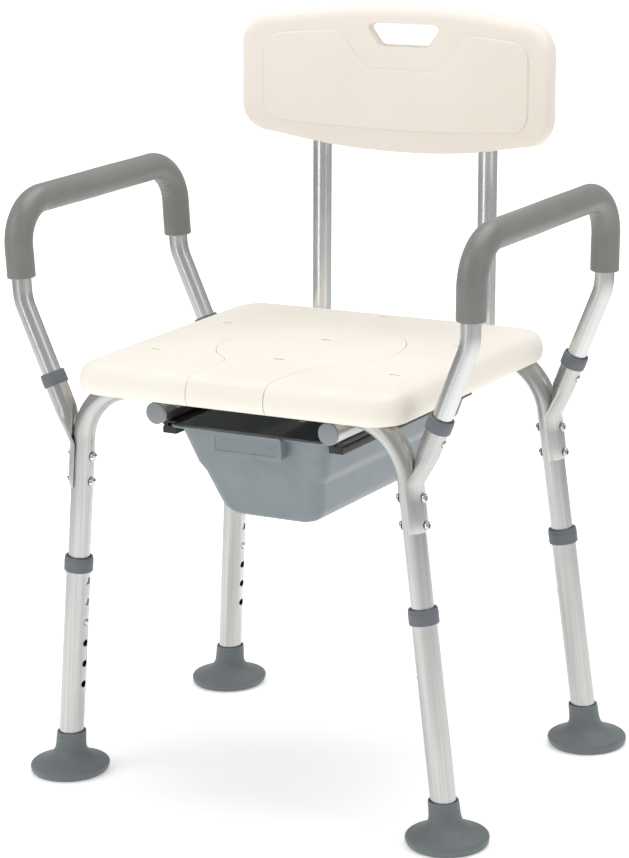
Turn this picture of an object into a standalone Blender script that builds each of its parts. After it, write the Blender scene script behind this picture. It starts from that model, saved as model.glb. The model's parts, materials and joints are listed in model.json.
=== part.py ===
"""Shower commode chair: two bent tube frames with telescopic legs, a moulded seat with a
lift-out cover, a bucket on slides, two lift-off arms and a backrest that pulls off the rails.
Metres, +Z up, the front faces -Y and the middle of the bounding box lies over the origin."""
import math

import bmesh
import bpy
from mathutils import Matrix, Vector

# Driving sizes -----------------------------------------------------------------------------
FEET_Y = -0.0113          # the feet's middle lies this far from the middle of the whole chair
FOOT_X = 0.2515           # leg axis at the floor
FOOT_Y = 0.1747
SPLAY_X = 0.101           # sideways lean of every leg, metres per metre of height
LEAN_FRONT = 0.008
LEAN_REAR = 0.036
SIDES = 16                # facets round a tube

FRAME_R = 0.0127          # one-inch tube
FRAME_BORE = 0.0115
CROSS_Z = 0.4705
CROSS_BEND = 0.072
UPPER_END_Z = 0.172
CLIP_ROOM = 0.055

LOWER_R = 0.0142
LOWER_BORE = 0.0131
LOWER_TOP_Z = 0.2632
LOWER_END_Z = 0.0145
BUTTON_Z = 0.1865
HOLE_PITCH = 0.0254
HOLES_ABOVE = 2
HOLES_BELOW = 3
HOLE_R = 0.0043
COLLAR_Z = 0.2560

BOLT_Z = (0.3860, 0.3560)
BOLT_HOLE_R = 0.0033
SHELL_IN = 0.0131
SHELL_OUT = 0.0160
LEG_CLEAR = 0.0137
SHELL_END_Z = 0.3490
SHELL_TOP_Z = 0.4000
SLEEVE_R = 0.0127
SLEEVE_BORE = 0.01145
SLEEVE_MID = (0.2490, 0.4717)     # x and z of the middle of the sleeve's collar
SLEEVE_TOP = 0.0050
SLEEVE_END = -0.0360
SLEEVE_Y = {"f": -0.1705, "r": 0.1520}
ARM_R = 0.0111
ARM_BORE = 0.0099
ARM_END = -0.0330
ARM_CLIP = -0.0190
ARM_BEND = (0.2865, 0.5590)
ARM_TOP = (0.2907, 0.6680)
GRIP_R = 0.0165
GRIP_WALL = 0.0050
GRIP_END_Z = {"f": 0.5850, "r": 0.5780}

RAIL_X = 0.1116
RAIL_Z = 0.4448
RAIL_R = 0.0127
RAIL_FRONT = -0.1690
RAIL_REAR = 0.1630
POST_Y = 0.1935           # post axis at the rails' height
POST_LEAN = 0.060
POST_FRONT = 0.0920
POST_TOP_Z = 0.8000
POST_CLIP = 0.1100

SEAT_X = 0.2090
SEAT_FRONT = -0.2035
SEAT_REAR = 0.1825
SEAT_CORNER = 0.0400
SEAT_TOP = 0.4994
SEAT_UNDER = 0.4837
LEDGE_Z = 0.4910
LID_Y = -0.0160
LID_R = 0.1080
TONGUE_X = 0.0500
TONGUE_FILLET = 0.0350
LIP_DEPTH_Y = -0.1800
SCREW_X = 0.0800
GAP = 0.0003

BACK_TOP = 0.8450
BACK_BOTTOM = 0.7055
BACK_X = 0.2060
BACK_HALF = 0.0160
BACK_BOW = 0.80           # depth of the curve in plan: metres per square metre of width
TOP_BOW = 0.0125
BOTTOM_BOW = 0.0190
HAND_TOP = (0.0485, 0.8360)
HAND_BOTTOM = (0.0290, 0.8115)
HAND_FLARE = 0.0045

SLIDE_X = (0.0990, 0.1170)
SLIDE_Y = 0.1500
SLIDE_Z = (0.4170, 0.4318)
FLANGE_Z = (0.4262, 0.4290)
FLANGE_X = 0.1090


# Tools --------------------------------------------------------------------------------------
def at(x, y, z):
    """A point given from the middle of the feet."""
    return Vector((x, y + FEET_Y, z))


def leg_point(side, end, z):
    """Centre of a leg at height z; side is -1 or 1, end is f or r."""
    x = side * (FOOT_X - SPLAY_X * z)
    if end == "f":
        return at(x, -(FOOT_Y - LEAN_FRONT * z), z)
    return at(x, FOOT_Y - LEAN_REAR * z, z)


def leg_axes(side, end):
    """Unit vectors of a leg: up along it, outward across it, and their normal."""
    up = (leg_point(side, end, 0.4) - leg_point(side, end, 0.0)).normalized()
    out = Vector((side, 0, 0))
    out = (out - up * out.dot(up)).normalized()
    return up, out, up.cross(out)


def sleeve_axes(side):
    """Unit vectors of an arm sleeve: up along it and outward across it."""
    up = Vector((side * (ARM_BEND[0] - SLEEVE_MID[0]), 0, ARM_BEND[1] - SLEEVE_MID[1])).normalized()
    out = Vector((side * up.z, 0, -abs(up.x)))
    return up, out


def sleeve_point(side, end, along):
    middle = at(side * SLEEVE_MID[0], SLEEVE_Y[end], SLEEVE_MID[1])
    return middle + sleeve_axes(side)[0] * along


def clear_scene():
    for thing in list(bpy.data.objects):
        bpy.data.objects.remove(thing, do_unlink=True)
    for group in list(bpy.data.collections):
        bpy.data.collections.remove(group)


def make_collection(name):
    group = bpy.data.collections.new(name)
    bpy.context.scene.collection.children.link(group)
    return group


def make_material(name, colour, roughness, metallic=0.0):
    mat = bpy.data.materials.new(name)
    mat.use_nodes = True
    shader = mat.node_tree.nodes["Principled BSDF"]
    shader.inputs["Base Color"].default_value = (*colour, 1.0)
    shader.inputs["Roughness"].default_value = roughness
    shader.inputs["Metallic"].default_value = metallic
    mat.diffuse_color = (*colour, 1.0)
    return mat


def add_object(name, mesh, mat, group=None):
    thing = bpy.data.objects.new(name, mesh)
    (group or PARTS).objects.link(thing)
    mesh.materials.clear()
    mesh.materials.append(mat)
    mesh.shade_smooth()
    mesh.set_sharp_from_angle(angle=math.radians(35))
    return thing


def mesh_from(bm, name):
    """Close a bmesh into mesh data with its faces pointing out."""
    bmesh.ops.recalc_face_normals(bm, faces=bm.faces)
    mesh = bpy.data.meshes.new(name)
    bm.to_mesh(mesh)
    bm.free()
    return mesh


def frame_matrix(origin, x_axis, z_axis):
    """A placement whose local X and Z follow two given directions."""
    z = z_axis.normalized()
    x = (x_axis - z * x_axis.dot(z)).normalized()
    y = z.cross(x)
    return Matrix.Translation(origin) @ Matrix((x, y, z)).transposed().to_4x4()


def cylinder_into(bm, start, stop, radius, sides):
    axis = stop - start
    turn = axis.to_track_quat("Z", "Y").to_matrix().to_4x4()
    place = Matrix.Translation((start + stop) / 2) @ turn
    bmesh.ops.create_cone(bm, cap_ends=True, segments=sides, radius1=radius, radius2=radius,
                          depth=axis.length, matrix=place)


def cutter(name, rods):
    """One cutter made of separate rods, each (start, stop, radius, sides)."""
    bm = bmesh.new()
    for start, stop, radius, sides in rods:
        cylinder_into(bm, start, stop, radius, sides)
    return hide_cutter(bpy.data.objects.new(name, mesh_from(bm, name)))


def hide_cutter(thing):
    CUTTERS.objects.link(thing)
    thing.hide_render = True
    thing.display_type = "WIRE"
    return thing


def boolean(target, tool, operation="DIFFERENCE"):
    mod = target.modifiers.new(operation.lower(), "BOOLEAN")
    mod.operation = operation
    mod.solver = "EXACT"
    mod.object = tool


def lathe_mesh(name, profile, sides, place):
    """Turn a profile of (radius, height) points about local Z, then place it."""
    bm = bmesh.new()
    verts = [bm.verts.new((radius, 0, height)) for radius, height in profile]
    edges = [bm.edges.new(pair) for pair in zip(verts, verts[1:])]
    bmesh.ops.spin(bm, geom=verts + edges, cent=(0, 0, 0), axis=(0, 0, 1), steps=sides,
                   angle=math.tau, use_merge=True)
    bmesh.ops.remove_doubles(bm, verts=bm.verts, dist=1e-6)
    bmesh.ops.transform(bm, matrix=place, verts=bm.verts)
    return mesh_from(bm, name)


def round_corners(points, radii, steps):
    """Points of a path whose inner corners are arcs of the given radii."""
    path = [points[0]]
    for before, corner, after, radius in zip(points, points[1:], points[2:], radii):
        one = (before - corner).normalized()
        two = (after - corner).normalized()
        half = one.angle(two) / 2
        centre = corner + (one + two).normalized() * radius / math.sin(half)
        start = corner + one * radius / math.tan(half) - centre
        stop = corner + two * radius / math.tan(half) - centre
        turn = start.rotation_difference(stop)
        for step in range(steps + 1):
            part = Matrix.Identity(3).to_quaternion().slerp(turn, step / steps)
            path.append(centre + part @ start)
    path.append(points[-1])
    return path


def curve_mesh(name, path, radius, caps=True):
    """Mesh of a round tube along a path."""
    curve = bpy.data.curves.new(name, "CURVE")
    curve.dimensions = "3D"
    curve.bevel_depth = radius
    curve.bevel_resolution = SIDES // 2 - 2
    curve.use_fill_caps = caps
    spline = curve.splines.new("POLY")
    spline.points.add(len(path) - 1)
    for point, place in zip(spline.points, path):
        point.co = (*place, 1)
    holder = bpy.data.objects.new(name + "_curve", curve)
    CUTTERS.objects.link(holder)
    graph = bpy.context.evaluated_depsgraph_get()
    mesh = bpy.data.meshes.new_from_object(holder.evaluated_get(graph))
    bpy.data.objects.remove(holder)
    bm = bmesh.new()
    bm.from_mesh(mesh)
    bpy.data.meshes.remove(mesh)
    bmesh.ops.remove_doubles(bm, verts=bm.verts, dist=1e-6)
    if caps:
        return mesh_from(bm, name)
    mesh = bpy.data.meshes.new(name)
    bm.to_mesh(mesh)
    bm.free()
    return mesh


def loft_mesh(name, rings):
    """Skin a list of rings with equal point counts and cap both ends."""
    bm = bmesh.new()
    rows = [[bm.verts.new(point) for point in ring] for ring in rings]
    count = len(rows[0])
    for low, high in zip(rows, rows[1:]):
        for i in range(count):
            j = (i + 1) % count
            bm.faces.new((low[i], low[j], high[j], high[i]))
    bm.faces.new(rows[0])
    bm.faces.new(rows[-1])
    return mesh_from(bm, name)


def prism_mesh(name, outline, low, high):
    """Extrude a flat outline of (x, y) points between two heights."""
    return loft_mesh(name, [[at(x, y, z) for x, y in outline] for z in (low, high)])


def rounded_rect(half_x, front, rear, corner, steps=5):
    """Outline of a rectangle with round corners, from its front right round to its start."""
    centres = ((half_x - corner, rear - corner, 0), (corner - half_x, rear - corner, 90),
               (corner - half_x, front + corner, 180), (half_x - corner, front + corner, 270))
    outline = []
    for x, y, first in centres:
        for step in range(steps + 1):
            angle = math.radians(first + 90 * step / steps)
            outline.append((x + corner * math.cos(angle), y + corner * math.sin(angle)))
    return outline


# Frame, legs and feet -------------------------------------------------------------------------
def frame_rods(end):
    """Bores and holes of one bent frame: clip room, buttons, arm bolts and seat screws."""
    bores, holes = [], []
    for side in (-1, 1):
        up, out, _ = leg_axes(side, end)
        foot = leg_point(side, end, UPPER_END_Z)
        bores.append((foot - up * 0.01, foot + up * CLIP_ROOM, FRAME_BORE, SIDES))
        button = leg_point(side, end, BUTTON_Z)
        holes.append((button - out * 0.009, button - out * 0.016, HOLE_R, 6))
        for height in BOLT_Z:
            bolt = leg_point(side, end, height)
            holes.append((bolt - out * 0.02, bolt + out * 0.02, BOLT_HOLE_R, 6))
        screw = leg_point(side, end, CROSS_Z)
        screw.x = side * SCREW_X
        holes.append((screw - Vector((0, 0, 0.02)), screw + Vector((0, 0, 0.02)), 0.0026, 8))
    return bores, holes


def build_frame(end, name):
    feet = [leg_point(side, end, UPPER_END_Z) for side in (-1, 1)]
    corners = [leg_point(side, end, CROSS_Z) for side in (-1, 1)]
    path = round_corners([feet[0], *corners, feet[1]], (CROSS_BEND,) * 2, 5)
    frame = add_object(name, curve_mesh(name, path, FRAME_R), ALUMINIUM)
    bores, holes = frame_rods(end)
    boolean(frame, cutter(name + "_bores", bores))
    boolean(frame, cutter(name + "_holes", holes))


def build_lower_leg(side, end, tag):
    up, out, _ = leg_axes(side, end)
    top = leg_point(side, end, LOWER_TOP_Z)
    low = leg_point(side, end, LOWER_END_Z)
    bm = bmesh.new()
    cylinder_into(bm, low, top, LOWER_R, SIDES)
    name = "lower_leg_" + tag
    leg = add_object(name, mesh_from(bm, name), ALUMINIUM)
    boolean(leg, cutter(name + "_bore", [(low - up * 0.01, top + up * 0.01, LOWER_BORE, SIDES)]))
    rods = []
    button = leg_point(side, end, BUTTON_Z)
    for step in range(-HOLES_BELOW, HOLES_ABOVE + 1):
        middle = button + up * HOLE_PITCH * step
        rods.append((middle - out * 0.009, middle - out * 0.018, HOLE_R, 6))
    boolean(leg, cutter(name + "_holes", rods))


def build_leg_collar(side, end, tag):
    """Grey plastic ring over the lower tube's top, with a lip that guides the upper tube."""
    up, out, _ = leg_axes(side, end)
    profile = [(0.0147, -0.0080), (0.0168, -0.0080), (0.0168, 0.0083), (0.0158, 0.0095),
               (0.0135, 0.0095), (0.0135, 0.0078), (0.0147, 0.0078), (0.0147, -0.0080)]
    place = frame_matrix(leg_point(side, end, COLLAR_Z), out, up)
    name = "leg_collar_" + tag
    add_object(name, lathe_mesh(name, profile, SIDES, place), GREY)


def build_foot(side, end, tag):
    """Rubber foot: a boot that leans with the leg on a round suction disc that lies flat."""
    profile = [(0, 0.0125), (0.0150, 0.0125), (0.0150, 0.0500), (0.0170, 0.0500), (0.0178, 0.0340),
               (0.0220, 0.0235), (0.0310, 0.0165), (0.0440, 0.0120), (0.0466, 0.0090),
               (0.0425, 0.0), (0.0370, 0.0), (0.0330, 0.0025), (0, 0.0045)]
    low = leg_point(side, end, 0.0)
    rise = leg_point(side, end, 1.0) - low
    shear = Matrix.Identity(4)
    shear[0][2] = rise.x
    shear[1][2] = rise.y
    name = "foot_" + tag
    add_object(name, lathe_mesh(name, profile, SIDES, Matrix.Translation(low) @ shear), RUBBER)


def clip_mesh(name, place, near, far, tip, width, radius):
    """Snap clip: a folded spring leaf with a round button; local X is outward, Z up the tube."""
    line = [(near, -0.0065), (near, 0.0065), (near - 0.0010, 0.0170), (near - 0.0045, 0.0240),
            (far + 0.0045, 0.0240), (far + 0.0010, 0.0170), (far, 0.0000)]
    thick = 0.0004
    left, right = [], []
    for i, (x, z) in enumerate(line):
        ahead = Vector(line[min(i + 1, len(line) - 1)])
        behind = Vector(line[max(i - 1, 0)])
        along = (ahead - behind).normalized()
        left.append((x - along.y * thick, z + along.x * thick))
        right.append((x + along.y * thick, z - along.x * thick))
    outline = left + right[::-1]
    rings = [[Vector((x, y, z)) for x, z in outline] for y in (-width / 2, width / 2)]
    leaf = loft_mesh(name, [[place @ point for point in ring] for ring in rings])
    profile = [(0, -0.0002), (radius, -0.0002), (radius, tip - near - 0.0014),
               (radius * 0.72, tip - near - 0.0004), (0, tip - near)]
    turn = Matrix.Rotation(math.radians(90), 4, "Y")
    button = lathe_mesh(name + "_button", profile, 10, place @ Matrix.Translation((near, 0, 0)) @ turn)
    return leaf, button


def build_clip(name, origin, out, up, sizes):
    place = frame_matrix(origin, out, up)
    leaf, button = clip_mesh(name, place, *sizes)
    clip = add_object(name, leaf, STEEL)
    boolean(clip, hide_cutter(bpy.data.objects.new(name + "_button", button)), "UNION")


# Arm brackets and arms -------------------------------------------------------------------------
def bracket_ring(centre, out, normal, blend):
    """A ring between the round sleeve (blend 0) and the shell that hugs the leg (blend 1)."""
    ring = []
    for i in range(16):
        if i <= 8:
            angle = math.radians(-90 + 22.5 * i)
            shell = SHELL_OUT * Vector((math.cos(angle * 0.92), math.sin(angle * 0.92)))
        else:
            angle = math.radians(112.5 + 22.5 * (i - 9))
            inner = math.radians(180) - angle
            shell = SHELL_IN * Vector((math.cos(inner * 1.15), math.sin(inner * 1.15)))
        tube = SLEEVE_R * Vector((math.cos(angle), math.sin(angle)))
        flat = tube.lerp(shell, blend)
        ring.append(centre + out * flat.x + normal * flat.y)
    return ring


def keep_off_leg(ring, foot, up):
    """Push a ring's points out to the leg's surface where they would fall inside it."""
    kept = []
    for point in ring:
        across = (point - foot) - up * (point - foot).dot(up)
        if across.length < LEG_CLEAR:
            point = point + across.normalized() * (LEG_CLEAR - across.length)
        kept.append(point)
    return kept


def build_bracket(side, end, tag):
    leg_up, leg_out, leg_normal = leg_axes(side, end)
    up, out = sleeve_axes(side)
    normal = up.cross(out)
    rings = [bracket_ring(sleeve_point(side, end, along), out, normal, 0.0)
             for along in (SLEEVE_TOP, SLEEVE_END)]
    start = sleeve_point(side, end, SLEEVE_END)
    stop = leg_point(side, end, SHELL_TOP_Z)
    for blend in (0.25, 0.5, 0.75, 1.0):
        mix_out = out.lerp(leg_out, blend).normalized()
        ring = bracket_ring(start.lerp(stop, blend), mix_out, normal.lerp(leg_normal, blend), blend)
        rings.append(keep_off_leg(ring, leg_point(side, end, 0), leg_up))
    rings.append(bracket_ring(leg_point(side, end, SHELL_END_Z), leg_out, leg_normal, 1.0))
    name = "arm_bracket_" + tag
    bracket = add_object(name, loft_mesh(name, rings), ALUMINIUM)
    bore = [(sleeve_point(side, end, SLEEVE_END + 0.001), sleeve_point(side, end, 0.02), SLEEVE_BORE, SIDES)]
    boolean(bracket, cutter(name + "_bore", bore))
    button = sleeve_point(side, end, ARM_CLIP)
    rods = [(button + out * 0.009, button + out * 0.016, HOLE_R, 6)]
    for height in BOLT_Z:
        bolt = leg_point(side, end, height)
        rods.append((bolt + leg_out * 0.009, bolt + leg_out * 0.02, BOLT_HOLE_R, 6))
    boolean(bracket, cutter(name + "_holes", rods))


def build_arm_collar(side, end, tag):
    """Grey ring over the sleeve's mouth."""
    up, out = sleeve_axes(side)
    profile = [(0.0131, -0.0082), (0.0146, -0.0082), (0.0146, 0.0064), (0.0138, 0.0073),
               (0.0116, 0.0073), (0.0116, 0.0054), (0.0131, 0.0054), (0.0131, -0.0082)]
    place = frame_matrix(sleeve_point(side, end, 0.0), out, up)
    name = "arm_collar_" + tag
    add_object(name, lathe_mesh(name, profile, SIDES, place), GREY)


def build_bolt(side, end, height, name):
    """Bolt through the leg and the bracket: round head inside, low head outside."""
    profile = [(0, -0.0178), (0.0040, -0.0170), (0.0059, -0.0130), (0.0028, -0.0130),
               (0.0028, 0.0162), (0.0053, 0.0162), (0.0051, 0.0181), (0.0036, 0.0188), (0, 0.0188)]
    up, out, _ = leg_axes(side, end)
    place = frame_matrix(leg_point(side, end, height), up, out)
    add_object(name, lathe_mesh(name, profile, 6, place), STEEL)


def arm_path(side):
    """Centre line of an arm from the end in its front sleeve to the end in its rear sleeve."""
    points = []
    for end in ("f", "r"):
        bend = at(side * ARM_BEND[0], SLEEVE_Y[end], ARM_BEND[1])
        top = at(side * ARM_TOP[0], SLEEVE_Y[end], ARM_TOP[1])
        run = [sleeve_point(side, end, ARM_END), bend, top]
        points += run if end == "f" else run[::-1]
    return round_corners(points, (0.060, 0.050, 0.050, 0.060), 4)


def build_arm(side, tag):
    path = arm_path(side)
    name = "arm_tube_" + tag
    arm = add_object(name, curve_mesh(name, path, ARM_R), ALUMINIUM)
    bores, holes = [], []
    up, out = sleeve_axes(side)
    for end in ("f", "r"):
        tip = sleeve_point(side, end, ARM_END)
        bores.append((tip - up * 0.01, tip + up * CLIP_ROOM, ARM_BORE, SIDES))
        button = sleeve_point(side, end, ARM_CLIP)
        holes.append((button + out * 0.008, button + out * 0.015, HOLE_R, 6))
    boolean(arm, cutter(name + "_bores", bores))
    boolean(arm, cutter(name + "_holes", holes))


def upright_point(side, end, z):
    """Point at height z on the straight upright of an arm."""
    share = (z - ARM_BEND[1]) / (ARM_TOP[1] - ARM_BEND[1])
    return at(side * (ARM_BEND[0] + share * (ARM_TOP[0] - ARM_BEND[0])), SLEEVE_Y[end], z)


def build_grip(side, tag):
    """Foam sleeve over the top bar and both uprights of an arm."""
    middle = [point for point in arm_path(side) if point.z > 0.6]
    path = [upright_point(side, "f", GRIP_END_Z["f"]), *middle, upright_point(side, "r", GRIP_END_Z["r"])]
    name = "arm_grip_" + tag
    grip = add_object(name, curve_mesh(name, path, GRIP_R, caps=False), FOAM)
    wall = grip.modifiers.new("wall", "SOLIDIFY")
    wall.thickness = GRIP_WALL
    wall.offset = -1


# Rails, slides and backrest --------------------------------------------------------------------
def build_rail(side, tag):
    name = "seat_rail_" + tag
    front = at(side * RAIL_X, RAIL_FRONT, RAIL_Z)
    rear = at(side * RAIL_X, RAIL_REAR, RAIL_Z)
    bm = bmesh.new()
    cylinder_into(bm, front, rear, RAIL_R, SIDES)
    rail = add_object(name, mesh_from(bm, name), ALUMINIUM)
    beyond = Vector((0, 0.01, 0))
    boolean(rail, cutter(name + "_bore", [(front - beyond, rear + beyond, SLEEVE_BORE, SIDES)]))
    button = at(side * RAIL_X, POST_CLIP, RAIL_Z)
    out = Vector((side, 0, 0))
    boolean(rail, cutter(name + "_hole", [(button + out * 0.009, button + out * 0.016, HOLE_R, 6)]))


def build_plug(side, tag):
    """Grey plug in the rail's front end."""
    profile = [(0, -0.0140), (0.0108, -0.0140), (0.0108, 0.0003), (0.0126, 0.0003), (0.0126, 0.0018),
               (0.0112, 0.0032), (0, 0.0036)]
    place = frame_matrix(at(side * RAIL_X, RAIL_FRONT, RAIL_Z), Vector((1, 0, 0)), Vector((0, -1, 0)))
    name = "rail_plug_" + tag
    add_object(name, lathe_mesh(name, profile, SIDES, place), GREY)


def build_slide(side, tag):
    """Black channel under the rail, open towards the bucket, that carries its flange."""
    inner, outer = SLIDE_X
    low, high = SLIDE_Z
    slot_x = FLANGE_X + 0.0012
    slot_low = FLANGE_Z[0] - GAP
    slot_high = FLANGE_Z[1] + 0.0006
    section = [(inner, low), (outer, low), (outer, high), (inner, high), (inner, slot_high),
               (slot_x, slot_high), (slot_x, slot_low), (inner, slot_low)]
    rings = [[at(side * x, y, z) for x, z in section] for y in (-SLIDE_Y, SLIDE_Y)]
    name = "bucket_slide_" + tag
    add_object(name, loft_mesh(name, rings), BLACK)


def post_path(side):
    corner = at(side * RAIL_X, POST_Y, RAIL_Z)
    front = at(side * RAIL_X, POST_FRONT, RAIL_Z)
    top = at(side * RAIL_X, POST_Y + POST_LEAN * (POST_TOP_Z - RAIL_Z), POST_TOP_Z)
    return round_corners([front, corner, top], (0.034,), 5)


def build_post(side, tag):
    path = post_path(side)
    name = "back_post_" + tag
    post = add_object(name, curve_mesh(name, path, ARM_R), ALUMINIUM)
    bore = [(path[0] - Vector((0, 0.01, 0)), path[0] + Vector((0, CLIP_ROOM, 0)), ARM_BORE, SIDES)]
    boolean(post, cutter(name + "_bore", bore))
    button = at(side * RAIL_X, POST_CLIP, RAIL_Z)
    out = Vector((side, 0, 0))
    boolean(post, cutter(name + "_hole", [(button + out * 0.008, button + out * 0.015, HOLE_R, 6)]))


def back_outline():
    """Front view of the backrest as (x, z): bowed top and bottom edges and round corners."""
    corners = ((1, BACK_TOP, 0), (-1, BACK_TOP, 90), (-1, BACK_BOTTOM, 180), (1, BACK_BOTTOM, 270))
    corner, steps = 0.034, 4
    flat_x = BACK_X - corner
    outline = []
    for side, height, first in corners:
        inward = -1 if height == BACK_TOP else 1
        for step in range(steps + 1):
            angle = math.radians(first + 90 * step / steps)
            x = side * flat_x + corner * math.cos(angle)
            outline.append((x, height + inward * corner + corner * math.sin(angle)))
        if first in (0, 180):
            for share in (0.6, 0.2, -0.2, -0.6):
                bow = (1 - share * share)
                rise = TOP_BOW * bow if first == 0 else -BOTTOM_BOW * bow
                outline.append((side * flat_x * share, height + rise))
    return outline


def back_y(x, z):
    """Middle of the backrest's thickness: it leans with the posts and curves round the user."""
    return POST_Y + POST_LEAN * (z - RAIL_Z) + BACK_BOW * (RAIL_X ** 2 - x * x)


def back_ring(outline, scale, offset):
    middle_z = (BACK_TOP + BACK_BOTTOM) / 2
    ring = []
    for x, z in outline:
        flat_x, flat_z = x * scale[0], middle_z + (z - middle_z) * scale[1]
        ring.append(at(flat_x, back_y(flat_x, flat_z) + offset, flat_z))
    return ring


def build_backrest():
    outline = back_outline()
    steps = [((0.05, 0.05), 1.0), ((0.45, 0.45), 1.0), ((0.80, 0.78), 1.0), ((0.94, 0.90), 1.0),
             ((0.98, 0.965), 0.78), ((1.0, 1.0), 0.30)]
    front = [back_ring(outline, scale, -BACK_HALF * share) for scale, share in steps]
    rear = [back_ring(outline, scale, BACK_HALF * share) for scale, share in steps[::-1]]
    name = "backrest_panel"
    panel = add_object(name, loft_mesh(name, front + rear), IVORY)
    boolean(panel, back_hole_cutter())
    rods = []
    for side in (-1, 1):
        top = post_path(side)[-1]
        down = Vector((0, -POST_LEAN, -1)).normalized()
        rods.append((top + down * 0.15, top - down * 0.0008, SLEEVE_BORE, SIDES))
    boolean(panel, cutter("post_sockets", rods))


def back_hole_cutter():
    """Rounded trapezoid through the top of the panel."""
    wide, top = HAND_TOP
    narrow, low = HAND_BOTTOM
    corners = [Vector((x, 0, z)) for x, z in ((wide, top), (-wide, top), (-narrow, low), (narrow, low))]
    start = corners[0].lerp(corners[1], 0.3)
    path = round_corners([start, *corners[1:], corners[0], start], (0.007,) * 4, 2)[:-1]
    centre_z = (top + low) / 2
    rings = []
    for depth, flare in ((-0.060, 1), (-0.014, 1), (-0.006, 0), (0.006, 0), (0.014, 1), (0.060, 1)):
        ring = []
        for p in path:
            x = p.x + math.copysign(HAND_FLARE, p.x) * flare
            z = p.z + math.copysign(HAND_FLARE, p.z - centre_z) * flare
            ring.append(at(x, back_y(0, centre_z) + depth, z))
        rings.append(ring)
    return hide_cutter(bpy.data.objects.new("hand_hole", loft_mesh("hand_hole", rings)))


# Seat and bucket ---------------------------------------------------------------------------------
def seat_rings():
    """Rings of the seat slab from the underside, round the hanging lip, to the flat top."""
    steps = ((0.0110, SEAT_UNDER), (0.0110, 0.4665), (0.0070, 0.4652), (0.0022, 0.4690), (0, 0.4780),
             (0.0015, 0.4870), (0.0065, 0.4945), (0.0140, 0.4983), (0.0230, SEAT_TOP))
    rings = []
    for inset, z in steps:
        outline = rounded_rect(SEAT_X - inset, SEAT_FRONT + inset, SEAT_REAR - inset, SEAT_CORNER - inset)
        rings.append([at(x, y, z) for x, y in outline])
    return rings


def keyhole(offset):
    """Outline of the cover: a disc, two hollow fillets and a tongue that runs off the front."""
    radius, half, fillet = LID_R + offset, TONGUE_X + offset, TONGUE_FILLET - offset
    reach = radius + fillet
    fillet_y = LID_Y - math.sqrt(reach ** 2 - (half + fillet) ** 2)
    swing = math.atan2(fillet_y - LID_Y, half + fillet)
    outline = []
    for step in range(25):
        angle = swing + (math.pi - 2 * swing) * step / 24
        outline.append((radius * math.cos(angle), LID_Y + radius * math.sin(angle)))
    side = []
    for step in range(1, 5):
        angle = -swing * (1 - step / 4)
        side.append((-(half + fillet) + fillet * math.cos(angle), fillet_y + fillet * math.sin(angle)))
    front = SEAT_FRONT - 0.02
    outline += side + [(-half, front), (half, front)]
    return outline + [(-x, y) for x, y in side[::-1]]


def slot_rods(places):
    """Short drain slots as pairs of stadium outlines."""
    bm = bmesh.new()
    for x, y in places:
        path = []
        for step in range(8):
            angle = math.radians(-90 + 180 / 3 * (step % 4) + 180 * (step // 4))
            shift = 0.005 if step < 4 else -0.005
            path.append((x + shift + 0.0018 * math.cos(angle), y + 0.0018 * math.sin(angle)))
        rows = [[bm.verts.new(at(px, py, z)) for px, py in path] for z in (0.47, 0.51)]
        for i in range(8):
            j = (i + 1) % 8
            bm.faces.new((rows[0][i], rows[0][j], rows[1][j], rows[1][i]))
        bm.faces.new(rows[0])
        bm.faces.new(rows[1])
    return bm


def slots_cutter(name, places):
    return hide_cutter(bpy.data.objects.new(name, mesh_from(slot_rods(places), name)))


def narrow_well():
    """Opening below the ledge: narrower round the disc and full width through the lip."""
    well = hide_cutter(bpy.data.objects.new("well", prism_mesh("well", keyhole(-0.008), 0.44, 0.53)))
    half = TONGUE_X + GAP
    front = SEAT_FRONT - 0.03
    box = [(half, front), (half, LIP_DEPTH_Y), (-half, LIP_DEPTH_Y), (-half, front)]
    mouth = hide_cutter(bpy.data.objects.new("mouth", prism_mesh("mouth", box, 0.43, 0.54)))
    boolean(well, mouth, "UNION")
    return well


def build_seat():
    seat = add_object("seat_panel", loft_mesh("seat_panel", seat_rings()), IVORY)
    recess = hide_cutter(bpy.data.objects.new("wide_well", prism_mesh("wide_well", keyhole(GAP), LEDGE_Z, 0.53)))
    boolean(seat, recess)
    boolean(seat, narrow_well())
    boolean(seat, slots_cutter("seat_slots", [(side * 0.155, y) for side in (-1, 1)
                                              for y in (-0.100, 0.050)] + [(0.0, 0.153)]))
    rods = []
    for end in ("f", "r"):
        for side in (-1, 1):
            low = leg_point(side, end, CROSS_Z)
            low.x = side * SCREW_X
            rods.append((low, low + Vector((0, 0, 0.0205)), 0.0024, 8))
    boolean(seat, cutter("screw_pilots", rods))


def build_cover():
    """Lift-out keyhole cover that rests on the seat's ledge."""
    cover = add_object("seat_cover", loft_mesh("seat_cover", seat_rings()), IVORY)
    shape = prism_mesh("cover_shape", keyhole(-GAP), 0.44, 0.53)
    boolean(cover, hide_cutter(bpy.data.objects.new("cover_shape", shape)), "INTERSECT")
    plug = prism_mesh("plug_shape", keyhole(-0.0086), 0.43, LEDGE_Z + GAP)
    plug_tool = hide_cutter(bpy.data.objects.new("plug_shape", plug))
    half, front, lip = TONGUE_X - 0.0006, SEAT_FRONT - 0.03, LIP_DEPTH_Y - 0.0006
    box = prism_mesh("lip_shape", [(half, front), (half, lip), (-half, lip), (-half, front)],
                     0.42, LEDGE_Z + 0.001)
    boolean(plug_tool, hide_cutter(bpy.data.objects.new("lip_shape", box)), "UNION")
    outline = [(0.2, -0.3), (0.2, 0.2), (-0.2, 0.2), (-0.2, -0.3)]
    trim = hide_cutter(bpy.data.objects.new("trim", prism_mesh("trim", outline, 0.45, LEDGE_Z + GAP)))
    boolean(trim, plug_tool)
    boolean(cover, trim)
    boolean(cover, slots_cutter("cover_slots", [(0.0, 0.018), (0.0, -0.087)]))


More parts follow.
